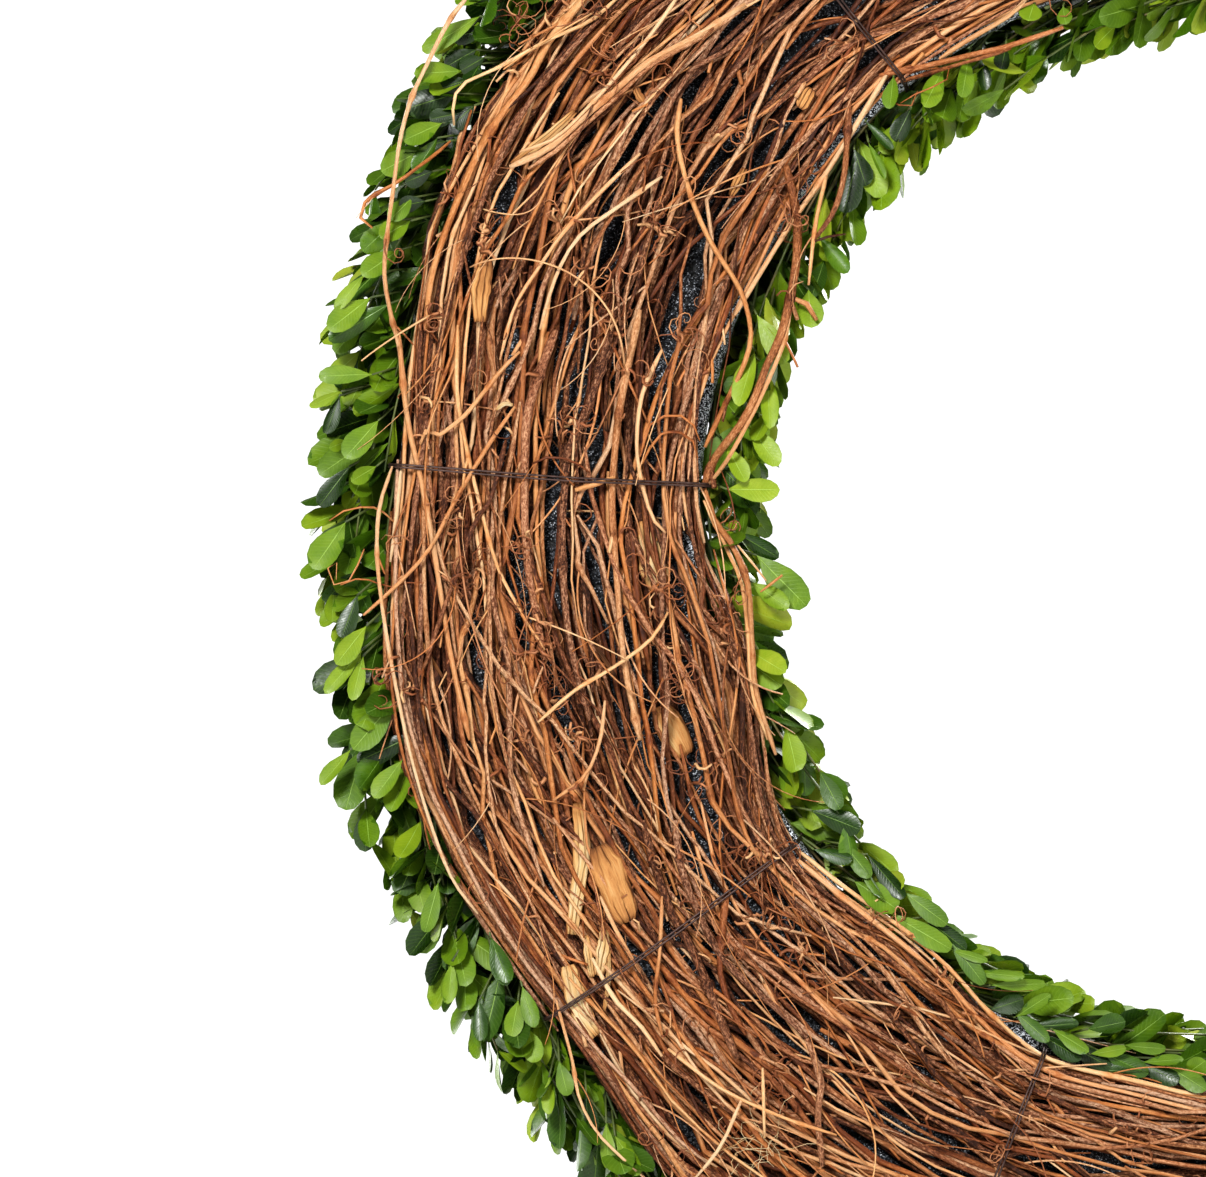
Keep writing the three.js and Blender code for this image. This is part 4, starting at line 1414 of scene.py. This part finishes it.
def scrap_sheet(draw, path, width, fold):
    """A thin curled scrap along a path: the points of its two sides, row by row."""
    length = path_length(path)
    middle = resample(path, np.linspace(0, length, SCRAP_ROWS))
    side = np.cross(np.gradient(middle, axis=0), (0, 1, 0))
    side /= np.linalg.norm(side, axis=1, keepdims=True)
    shares = np.linspace(0, 1, SCRAP_ROWS)
    wide = width / 2 * (0.25 + 0.75 * np.sin(math.pi * (0.06 + 0.88 * shares)) ** 0.5)
    wide *= 1 + 0.07 * np.sin(shares * draw.uniform(9, 15) + draw.uniform(0, 6))
    wide *= np.array([draw.uniform(0.88, 1.08) for _ in shares])
    sheet, grain, skin = [], [], []
    for column, place in enumerate(np.linspace(-1, 1, SCRAP_COLUMNS)):
        ridge = 0.07 * (column % 2) + 0.04 * np.sin(shares * 8 + place * 5 + draw.uniform(0, 1))
        rise = width * (fold * (1 - abs(place)) + ridge)
        edge = 1 + (0.12 * draw.uniform(-1, 1) if abs(place) == 1 else 0)
        places = np.full(SCRAP_ROWS, place)
        sheet.append(middle + side * (wide * place * edge)[:, None] + np.outer(rise, (0, 1, 0)))
        grain.append(np.stack([places * width / 2, rise, shares * length], axis=1))
        skin.append(np.stack([shares, places, np.zeros(SCRAP_ROWS)], axis=1))
    top, grain, skin = (np.array(part).transpose(1, 0, 2) for part in (sheet, grain, skin))
    return top, top - np.array((0, SCRAP_THICKNESS, 0)), grain + draw.uniform(0, 5), skin


def scrap_faces():
    """The faces of one scrap: its upper sheet, its under sheet and the rim between them."""
    size = SCRAP_ROWS * SCRAP_COLUMNS
    grid = np.arange(size).reshape(SCRAP_ROWS, SCRAP_COLUMNS)
    sheet = np.stack([grid[:-1, :-1], grid[:-1, 1:], grid[1:, 1:], grid[1:, :-1]], axis=-1).reshape(-1, 4)
    rim = np.concatenate([grid[0, :-1], grid[:-1, -1], grid[-1, :0:-1], grid[:0:-1, 0]])
    after = np.roll(rim, -1)
    edge = np.stack([after, rim, rim + size, after + size], axis=-1)
    return np.concatenate([sheet, sheet[:, ::-1] + size, edge])


def make_scraps(material):
    """Old leaf and bark scraps caught on the vines, as thin closed sheets."""
    draw = random.Random(SEED + 3)
    laid = []
    for pixels, width, fold, tone, layer in SCRAPS:
        laid.append((laid_path(pixels, layer, SCRAP_LIES), width * MM, fold, tone))
    for _ in range(LOOSE_SCRAPS):
        turn, across = draw.uniform(-20, 200), draw.uniform(0.08, 0.92)
        path = vine_path(draw, turn, draw.uniform(2.5, 7), across, draw.gauss(0, 20), 0.55, SCRAP_LIES)
        laid.append((path, draw.uniform(1.2, 3.2) * MM, draw.uniform(0.1, 0.3), draw.uniform(0.1, 0.6)))
    points, grains, skins = [], [], []
    for path, width, fold, tone in laid:
        top, under, grain, skin = scrap_sheet(draw, path, width, fold)
        skin[..., 0] = tone - 0.3 * np.abs(2 * skin[..., 0] - 1) ** 4
        points += [top.reshape(-1, 3), under.reshape(-1, 3)]
        grains += [grain.reshape(-1, 3)] * 2
        skins += [skin.reshape(-1, 3)] * 2
    faces = scrap_faces()
    faces = np.concatenate([faces + 2 * SCRAP_ROWS * SCRAP_COLUMNS * i for i in range(len(laid))])
    vectors = {"grain": np.concatenate(grains), "skin": np.concatenate(skins)}
    materials = [np.zeros(len(faces))]
    mesh = mesh_from("scraps", np.concatenate(points), [faces], materials, [material], vectors)
    add_piece("scraps", mesh)


def make_wisps(material):
    """A few pale fibres tangled on the mat."""
    draw = random.Random(SEED + 4)
    strands = Strands()
    for _ in range(WISPS):
        pixel = [place + draw.uniform(-reach, reach) for place, reach in zip(WISPS_PIXEL, WISPS_REACH)]
        foot = tuft_knots(draw, pixel)[0][0]
        away = Vector((draw.gauss(0, 1), 0, draw.gauss(0, 0.6))).normalized()
        tilt = Vector((draw.gauss(0, 0.5), 1, draw.gauss(0, 0.5))).normalized()
        bend = draw.choice((-1, 1)) * draw.uniform(0.15, 0.6)
        path = trail(foot, away, tilt, draw.uniform(7, 20) * MM, draw.gauss(0, 0.2), bend)
        strands.add(path, WISP_RADIUS, 4, 1.0, 0.0, offset=draw.uniform(0, MOST_OFFSET))
    strands.add_piece("wisps", material, "vine")


# Boxwood

# How far a leaf's middle line stands over the blade's fall and hangs under it, as shares of length
RIB_OVER = 0.006
RIB_UNDER = 0.022
# A leaf's outline from foot to tip: places along it and its width there
FINE_OUTLINE = ((0.08, 0.16), (0.27, 0.60), (0.48, 0.92), (0.67, 1.00), (0.84, 0.84), (0.955, 0.47))
PLAIN_OUTLINE = ((0.13, 0.30), (0.42, 0.86), (0.70, 0.99), (0.92, 0.62))


def leaf_template(outline, cup, droop, notch):
    """A leaf of unit length and width, closed, with an upper and an under side.

    Returns points, face corners with their side, and each point's place on the blade."""
    points = [(0, 0, 0)]
    blade = [(0, 0)]
    for along, wide in outline:
        fall = -droop * along * along
        edge = fall - cup * wide * wide
        points += [
            (-wide / 2, along, edge),
            (0, along, fall + RIB_OVER),
            (wide / 2, along, edge),
            (0, along, fall - RIB_UNDER),
        ]
        blade += [(-1, along), (0, along), (1, along), (0, along)]
    points.append((0, 1 - notch, -droop))
    blade.append((0, 1))
    tip = len(points) - 1
    last = tip - 4
    faces = []
    for i in range(4):
        after = (i + 1) % 4
        under = 0 if i < 2 else 1
        faces.append(((0, 1 + after, 1 + i), under))
        for base in range(1, last, 4):
            faces.append(((base + i, base + after, base + 4 + after, base + 4 + i), under))
        faces.append(((last + i, last + after, tip), under))
    return np.array(points), faces, np.array(blade, dtype=float)


# How far each kind of leaf is cupped, how far it droops, and the notch in its tip
LEAF_BENDS = (
    (0.10, 0.10, 0.0), (0.07, -0.05, 0.02), (0.13, 0.16, 0.0), (-0.05, 0.04, 0.03), (0.09, 0.22, 0.015),
)
FINE_LEAVES = [leaf_template(FINE_OUTLINE, *bend) for bend in LEAF_BENDS]
PLAIN_LEAVES = [leaf_template(PLAIN_OUTLINE, *bend) for bend in LEAF_BENDS]


# How far leaves stay off the hole and the foam, how high they reach, how near the foam's back they
# are beside the vines, and how far off the foam they stay there
LEAF_OFF = 1.5 * MM
LEAF_HIGHEST = 4 * MM
BESIDE_VINES = 2 * MM
LEAF_OFF_VINES = 7 * MM
# Round this angle the leaves come less near the ring's middle, by so much at most
SHORT_ANGLE = -68
SHORT_SPREAD = 18
SHORT_BY = 6 * MM


def inner_reach(angle):
    """How near the ring's middle the leaves come."""
    return REACH_INNER + SHORT_BY * min(1, max(0, 2 - abs(turn_between(angle, SHORT_ANGLE)) / SHORT_SPREAD))


def over_foam(angle, section, rise):
    """A point over the foam: section is 0 at the rim, 90 in front and 180 at the hole, and rise
    is 0 on the foam and 1 at the leaves' full reach."""
    turn = math.radians(section)
    reach = REACH_OUTER - FOAM_MIDDLE if math.cos(turn) > 0 else FOAM_MIDDLE - inner_reach(angle)
    radius = FOAM_MIDDLE + lerp(FOAM_HALF, reach, rise) * math.cos(turn)
    deep = lerp(FOAM_SHOULDER - FOAM_FRONT, FOAM_SHOULDER - REACH_FRONT, rise)
    return ring_point(angle, radius, FOAM_SHOULDER - deep * math.sin(turn))


def leaf_fits(points):
    """Whether these points of a leaf stay out of the foam, the vines and the hole."""
    for point in points:
        angle, radius = ring_place(point)
        if not inner_reach(angle) + LEAF_OFF < radius < REACH_OUTER:
            return False
        if not REACH_FRONT < point.y < LEAF_HIGHEST:
            return False
        off_middle = abs(radius - FOAM_MIDDLE)
        if point.y > FOAM_SHOULDER:
            off = LEAF_OFF_VINES if point.y > FOAM_BACK - BESIDE_VINES else LEAF_OFF
            if off_middle < FOAM_HALF + off:
                return False
            continue
        deep = (point.y - FOAM_SHOULDER) / (FOAM_FRONT - FOAM_SHOULDER)
        if (off_middle / FOAM_HALF) ** 2 + deep ** 2 < 1:
            return False
    return True


class Foliage:
    """Leaves and stems gathered into one mesh."""

    def __init__(self, kinds):
        self.kinds = kinds
        self.leaves = []
        self.stems = Strands()

    def leaf_arrays(self):
        """The leaves' points, and each point's place on its blade with the leaf's tone."""
        frames = np.array([leaf["frame"] for leaf in self.leaves])
        feet = np.array([leaf["foot"] for leaf in self.leaves])
        shapes = [self.kinds[leaf["shape"]] for leaf in self.leaves]
        points = np.einsum("nvi,nij->nvj", np.array([shape[0] for shape in shapes]), frames) + feet[:, None]
        blade = np.zeros_like(points)
        blade[..., :2] = np.array([shape[2] for shape in shapes])
        blade[..., 2] = np.array([leaf["tone"] for leaf in self.leaves])[:, None]
        return points.reshape(-1, 3), blade.reshape(-1, 3)

    def mesh(self, name, materials):
        """The mesh, with the materials of upper side, under side and stem."""
        points, blade = self.leaf_arrays()
        first = np.arange(len(self.leaves))[:, None, None] * len(self.kinds[0][0])
        groups, sides = [], []
        for corners in (4, 3):
            alike = [(face, side) for face, side in self.kinds[0][1] if len(face) == corners]
            faces = np.array([face for face, _ in alike])
            groups.append((faces[None] + first).reshape(-1, corners))
            sides.append(np.tile([side for _, side in alike], len(self.leaves)))
        for faces in self.stems.faces():
            groups.append(faces + len(points))
            sides.append(np.full(len(faces), 2))
        stem_points = np.concatenate(self.stems.points)
        vectors = {
            "grain": np.concatenate([np.zeros_like(points), *self.stems.grain]),
            "blade": np.concatenate([blade, np.zeros_like(stem_points)]),
        }
        made = mesh_from(name, np.concatenate([points, stem_points]), groups, sides, materials, vectors)
        sharpen_between_materials(made)
        return made


def sharpen_between_materials(mesh):
    """Keep the shading apart where an upper side meets an under side."""
    material, corners = np.zeros((2, len(mesh.polygons)), dtype=np.int32)
    mesh.polygons.foreach_get("material_index", material)
    mesh.polygons.foreach_get("loop_total", corners)
    edges = np.zeros(len(mesh.loops), dtype=np.int32)
    mesh.loops.foreach_get("edge_index", edges)
    of_loop = np.repeat(material, corners)
    low = np.full(len(mesh.edges), 99)
    high = np.full(len(mesh.edges), -1)
    np.minimum.at(low, edges, of_loop)
    np.maximum.at(high, edges, of_loop)
    layer = mesh.attributes.new("sharp_edge", "BOOLEAN", "EDGE")
    layer.data.foreach_set("value", low != high)


def add_leaf(foliage, foot, along, face, length, width, tone, shape):
    side = along.cross(face).normalized()
    face = side.cross(along).normalized()
    frame_rows = (tuple(side * width), tuple(along * length), tuple(face * length))
    foliage.leaves.append({"frame": frame_rows, "foot": tuple(foot), "tone": tone, "shape": shape})


# A sprig: the points along its stem, its length and its leaves' lengths in mm, how far apart the
# leaf pairs are in mm, its radius in mm at foot and tip, how far it turns aside in degrees, and the
# heights over the foam where it may end
STEM_POINTS = 7
SPRIG_LENGTHS = (78, 104)
LEAF_LENGTHS = (20, 25)
PAIR_GAPS = (8.6, 10.6)
STEM_RADII = (0.65, 0.35)
SPRIG_DRIFT = 9
SPRIG_HEIGHTS = (0.2, 0.45, 0.62, 0.78)
# A leaf's width as a share of its length, and how often another is tried where one doesn't fit
LEAF_WIDTHS = (0.39, 0.49)
LEAF_TRIES = 4
# How much the tone of the leaves round the hole is raised, as painted light, in sections past this one
INNER_PAINTED_LIGHT = 0.17
INNER_SECTION = 120


def sprig_stem_path(draw, angle, section, sweep):
    """A stem that leaves the foam and bends along the sweep."""
    drift = draw.uniform(-SPRIG_DRIFT, SPRIG_DRIFT)
    top = draw.choice(SPRIG_HEIGHTS) + draw.uniform(-0.08, 0.08)
    stem = []
    for i in range(STEM_POINTS):
        share = i / (STEM_POINTS - 1)
        rise = lerp(-0.12, top, share ** 0.8)
        stem.append(over_foam(angle - sweep * share ** 1.15, section + drift * share, rise))
    return np.array(stem)


def try_leaf(draw, onward, away, share, size, flat):
    """A leaf at a share of a sprig's length: its direction, its face, its length and its width."""
    opened = math.radians(draw.uniform(36, 66)) * lerp(1.1, 0.62, share)
    along = (onward * math.cos(opened) + away * math.sin(opened)).normalized()
    face = onward * math.sin(opened) - away * math.cos(opened)
    face = Matrix.Rotation(draw.gauss(0, 0.75), 3, along) @ face
    face = face.lerp(Vector((0, draw.choice((-1, -1, 1)), 0)), flat * draw.uniform(0.6, 1))
    grown = math.sin(math.pi * min(0.25 + 0.62 * share, 0.86)) ** 0.5
    long = draw.uniform(*LEAF_LENGTHS) * MM * grown * size
    return along, face, long, long * draw.uniform(*LEAF_WIDTHS)


def add_sprig(foliage, draw, angle, section, size, flat):
    """One leafy sprig, with leaf pairs that turn a quarter round from one to the next. Flat is how
    far the leaves lie in the ring's plane."""
    length = size * draw.uniform(*SPRIG_LENGTHS) * MM
    sweep = math.degrees(length / (over_foam(angle, section, 0.4) - CENTRE).length)
    stem = sprig_stem_path(draw, angle, section, sweep)
    total = path_length(stem)
    radii = np.linspace(*STEM_RADII, STEM_POINTS) * MM
    foliage.stems.add(stem, radii, 4, 0.5, 0.0, offset=draw.uniform(0, MOST_OFFSET))
    pairs = int(total / (draw.uniform(*PAIR_GAPS) * MM))
    core = ring_point(angle - sweep * 0.6, FOAM_MIDDLE, FOAM_SHOULDER)
    roll = draw.uniform(0, math.pi)
    age = draw.random()
    # Painted light: leaves round the hole get a higher tone
    painted_light = INNER_PAINTED_LIGHT if section > INNER_SECTION else 0
    for pair in range(2, pairs + 1):
        share = pair / pairs
        places = resample(stem, np.array([total * share - 1 * MM, total * share]))
        foot = Vector(places[1])
        onward = Vector(places[1] - places[0]).normalized()
        outward = foot - core
        outward = (outward - onward * outward.dot(onward)).normalized()
        roll += math.pi / 2 + draw.uniform(-0.25, 0.25)
        for hand in (0, math.pi):
            for _ in range(LEAF_TRIES):
                away = Matrix.Rotation(roll + hand + draw.uniform(-0.2, 0.2), 3, onward) @ outward
                along, face, long, wide = try_leaf(draw, onward, away, share, size, flat)
                side = along.cross(face)
                broad = foot + along * long * 0.7
                if leaf_fits((foot + along * long, broad + side * wide / 2, broad - side * wide / 2)):
                    tone = lerp(0.3, 0.78, share * age) + draw.gauss(painted_light, 0.17)
                    shape = draw.randrange(len(LEAF_BENDS))
                    add_leaf(foliage, foot, along, face, long, wide, min(max(tone, 0), 1), shape)
                    break


# How much bigger or smaller a sprig may be, and how many degrees off its section it may stand
SPRIG_SIZES = (0.9, 1.06)
SECTION_SPREAD = 9
# The rows of sprigs: their sections over the foam, the sprigs in each node and section, and how flat
# their leaves lie
ROWS = {
    "outer": ((-9, 3, 22, 42), 6, 0.55),
    "front": ((62, 80, 98, 114), 4, 0.0),
    "inner": ((132, 152, 172, 186), 5, 0.55),
}
# The stalk of a listed leaf, and the kinds of leaf that it may have
STALK_RADIUS = 0.4 * MM
LAID_SHAPES = (0, 1, 2)
# The depths in mm of such a leaf's foot and tip, for a dark leaf and a light one
LAID_FEET = (-5, -2)
LAID_TIPS = (-2, 3.2)
# Leaves that stand out in the photograph, and a few more past its frame: the pixels of foot and
# tip, width in pixels, tone, and whether the leaf shows its under side
# The lowest tones, about 0.2 and under, are partly painted shade: those leaves lie in the shadow beside the
# vines
LAID_LEAVES = (
    ((727, 489), (781, 489), 25, 0.82, True), ((732, 500), (759, 532), 25, 0.32, False),
    ((750, 425), (778, 468), 23, 0.75, True), ((727, 445), (745, 484), 20, 0.75, True),
    ((757, 555), (807, 607), 34, 0.50, True), ((736, 532), (778, 557), 18, 0.20, False),
    ((752, 582), (789, 611), 20, 0.65, True), ((757, 314), (786, 364), 23, 0.72, True),
    ((755, 350), (741, 409), 23, 0.78, True), ((768, 368), (768, 432), 19, 0.72, True),
    ((820, 236), (847, 272), 18, 0.58, False), ((809, 289), (811, 330), 27, 0.70, True),
    ((859, 155), (843, 211), 27, 0.12, False), ((395, 220), (364, 251), 25, 0.60, False),
    ((399, 249), (362, 278), 25, 0.56, True), ((364, 274), (335, 310), 14, 0.68, True),
    ((370, 297), (328, 332), 26, 0.62, True), ((389, 303), (330, 341), 23, 0.45, False),
    ((372, 374), (318, 376), 20, 0.56, True), ((341, 391), (310, 407), 11, 0.76, True),
    ((339, 395), (326, 435), 16, 0.14, False), ((378, 420), (345, 460), 27, 0.55, True),
    ((347, 441), (328, 448), 13, 0.66, True), ((349, 466), (318, 507), 21, 0.14, False),
    ((376, 466), (349, 482), 17, 0.60, True), ((345, 522), (314, 572), 31, 0.58, True),
    ((374, 553), (341, 595), 19, 0.60, True), ((357, 595), (341, 639), 20, 0.24, False),
    ((366, 626), (335, 665), 23, 0.74, True), ((362, 650), (325, 695), 17, 0.72, True),
    ((363, 656), (352, 702), 17, 0.70, True), ((395, 700), (352, 750), 30, 0.50, True),
    ((415, 735), (357, 762), 25, 0.10, False), ((350, 750), (322, 787), 17, 0.68, True),
    ((402, 760), (375, 800), 22, 0.62, True), ((480, 15), (422, 52), 20, 0.62, True),
    ((462, 70), (412, 75), 22, 0.60, True), ((457, 92), (407, 107), 30, 0.08, False),
    ((442, 122), (401, 142), 22, 0.60, True), ((420, 150), (380, 172), 26, 0.56, True),
    ((437, 137), (417, 172), 18, 0.50, False), ((412, 197), (390, 220), 20, 0.52, True),
    ((410, 220), (380, 240), 24, 0.60, True), ((438, 883), (425, 933), 18, 0.50, True),
    ((452, 962), (448, 1005), 16, 0.62, True), ((490, 937), (509, 984), 20, 0.40, False),
    ((479, 1001), (481, 1042), 16, 0.35, False), ((518, 1001), (511, 1038), 20, 0.60, True),
    ((522, 987), (536, 1028), 18, 0.50, True), ((529, 1030), (536, 1062), 22, 0.62, True),
    ((549, 1078), (550, 1115), 14, 0.74, True), ((559, 1062), (568, 1096), 18, 0.50, True),
    ((586, 1094), (588, 1138), 20, 0.08, False), ((606, 1124), (609, 1169), 16, 0.60, True),
    ((615, 1137), (643, 1174), 20, 0.62, True), ((812, 811), (862, 830), 24, 0.22, False),
    ((806, 816), (866, 841), 31, 0.62, False), ((814, 850), (853, 861), 16, 0.30, False),
    ((852, 848), (889, 895), 10, 0.45, True), ((855, 882), (898, 909), 32, 0.56, True),
    ((891, 914), (952, 950), 22, 0.55, True), ((950, 950), (988, 961), 10, 0.50, True),
    ((973, 973), (1026, 976), 12, 0.55, True), ((991, 986), (1046, 984), 14, 0.56, True),
    ((991, 1011), (1025, 1000), 22, 0.15, False), ((1016, 1018), (1052, 993), 14, 0.50, True),
    ((1028, 1028), (1078, 1025), 12, 0.30, False), ((1089, 1030), (1125, 1023), 22, 0.40, False),
    ((1053, 1030), (1091, 1050), 16, 0.55, True), ((1091, 1055), (1126, 1048), 14, 0.62, True),
    ((1125, 1046), (1166, 1049), 14, 0.45, True), ((1144, 1063), (1185, 1060), 12, 0.50, True),
    ((1185, 1077), (1206, 1059), 22, 0.55, True), ((1098, 1071), (1144, 1073), 14, 0.30, False),
    ((944, 68), (921, 109), 23, 0.62, True), ((969, 55), (962, 98), 20, 0.58, True),
    ((982, 55), (985, 89), 14, 0.15, False), ((1007, 45), (1003, 67), 18, 0.10, False),
    ((912, 107), (896, 140), 20, 0.08, False), ((894, 75), (891, 111), 18, 0.50, True),
    ((866, 120), (894, 150), 10, 0.30, False), ((869, 141), (884, 182), 9, 0.50, True),
    ((855, 148), (866, 184), 22, 0.08, False), ((1035, 2), (1028, 23), 24, 0.66, True),
    ((1064, 5), (1066, 26), 16, 0.52, True), ((1040, 1035), (1082, 1058), 18, 0.25, False),
    ((1070, 1046), (1112, 1068), 20, 0.12, False), ((1104, 1054), (1148, 1074), 20, 0.40, False),
    ((1138, 1062), (1180, 1083), 20, 0.20, False), ((1168, 1066), (1207, 1090), 20, 0.45, True),
    ((1015, 1012), (1050, 1042), 16, 0.30, True), ((905, 893), (948, 925), 20, 0.45, True),
    ((925, 918), (966, 950), 18, 0.20, False), ((950, 940), (985, 985), 18, 0.35, True),
    ((868, 855), (905, 900), 18, 0.15, False), ((845, 845), (872, 878), 18, 0.40, True),
    ((486, 28), (452, 36), 20, 0.12, False), ((476, 48), (446, 66), 22, 0.10, False),
    ((468, 78), (438, 88), 20, 0.15, False), ((458, 112), (430, 118), 20, 0.12, False),
    ((446, 140), (420, 146), 18, 0.10, False), ((432, 170), (404, 182), 20, 0.12, False),
    ((425, 200), (398, 206), 18, 0.10, False), ((484, 56), (462, 70), 22, 0.15, False),
    ((474, 104), (452, 124), 22, 0.12, False), ((480, 62), (468, 84), 20, 0.20, False),
    ((1196, 1080), (1240, 1076), 18, 0.30, False), ((1222, 1066), (1264, 1068), 20, 0.45, True),
    ((1240, 1084), (1284, 1079), 18, 0.55, False), ((1268, 1070), (1308, 1066), 20, 0.25, False),
    ((1284, 1085), (1328, 1077), 18, 0.50, True), ((1312, 1068), (1352, 1060), 20, 0.35, False),
    ((1330, 1080), (1372, 1067), 18, 0.60, True), ((1356, 1062), (1396, 1050), 20, 0.40, False),
    ((1374, 1072), (1414, 1054), 18, 0.30, False), ((1400, 1052), (1440, 1038), 20, 0.50, True),
)


def lay_leaf(foliage, draw, pixels, width, tone, under):
    """A listed leaf, on a short stalk that comes from between the vines and the foam. Dark
    leaves lie deeper than light ones."""
    foot = photo_point(pixels[0], lerp(*LAID_FEET, tone) * MM)
    tip = photo_point(pixels[1], (lerp(*LAID_TIPS, tone) + draw.uniform(-0.6, 0.6)) * MM)
    angle, radius = ring_place(foot)
    edge = FOAM_OUTER + 1 * MM if radius > FOAM_MIDDLE else FOAM_INNER - 1 * MM
    root = ring_point(angle + 1.5, edge, FOAM_SHOULDER - 4 * MM)
    bend = (root + foot) / 2 + (foot - tip).normalized() * 2 * MM
    foliage.stems.add([tuple(root), tuple(bend), tuple(foot)], STALK_RADIUS, 4, 0.5, 0.0)
    face = Vector((draw.gauss(0, 0.25), -1 if under else 1, draw.gauss(0, 0.25)))
    along = tip - foot
    shape = draw.choice(LAID_SHAPES)
    add_leaf(foliage, foot, along.normalized(), face, along.length, width * PHOTO_PIXEL, tone, shape)


def make_boxwood(materials):
    """The sprays that stand for each boxwood node, where its stem leaves the foam."""
    for row, (sections, along, flat) in ROWS.items():
        nodes = numbered(f"boxwood_{row}_")
        spacing = 360 / len(nodes)
        for number, node in enumerate(nodes):
            draw = random.Random(SEED + 100 + number * 7 + sections[1])
            middle = ring_place(box_middle(node))[0]
            foliage = Foliage(PLAIN_LEAVES if row == "front" else FINE_LEAVES)
            for section in sections:
                for i in range(along):
                    offset = spacing * (0.75 - (i + draw.uniform(0.1, 0.9)) / along)
                    place = section + draw.uniform(-SECTION_SPREAD, SECTION_SPREAD)
                    add_sprig(foliage, draw, middle + offset, place, draw.uniform(*SPRIG_SIZES), flat)
            for foot, tip, width, tone, under in LAID_LEAVES:
                angle, radius = pixel_place(foot)
                in_row = row == ("outer" if radius > FOAM_MIDDLE else "inner")
                if in_row and abs(turn_between(angle, middle)) <= spacing / 2:
                    lay_leaf(foliage, draw, (foot, tip), width, tone, under)
            name = f"spray_{row}_{number + 1}"
            add_piece(name, foliage.mesh(name, materials), [node])


set_camera()
set_light()
set_floor()
make_foam(foam_beads())
mat_knots = make_vines(vine_bark())
make_wires(binding_wire())
make_tendrils(tendril_skin(), mat_knots)
dry = dried_leaf()
make_scraps(dry)
make_wisps(dry)
make_boxwood([leaf_upper(), leaf_under(), sprig_stem()])
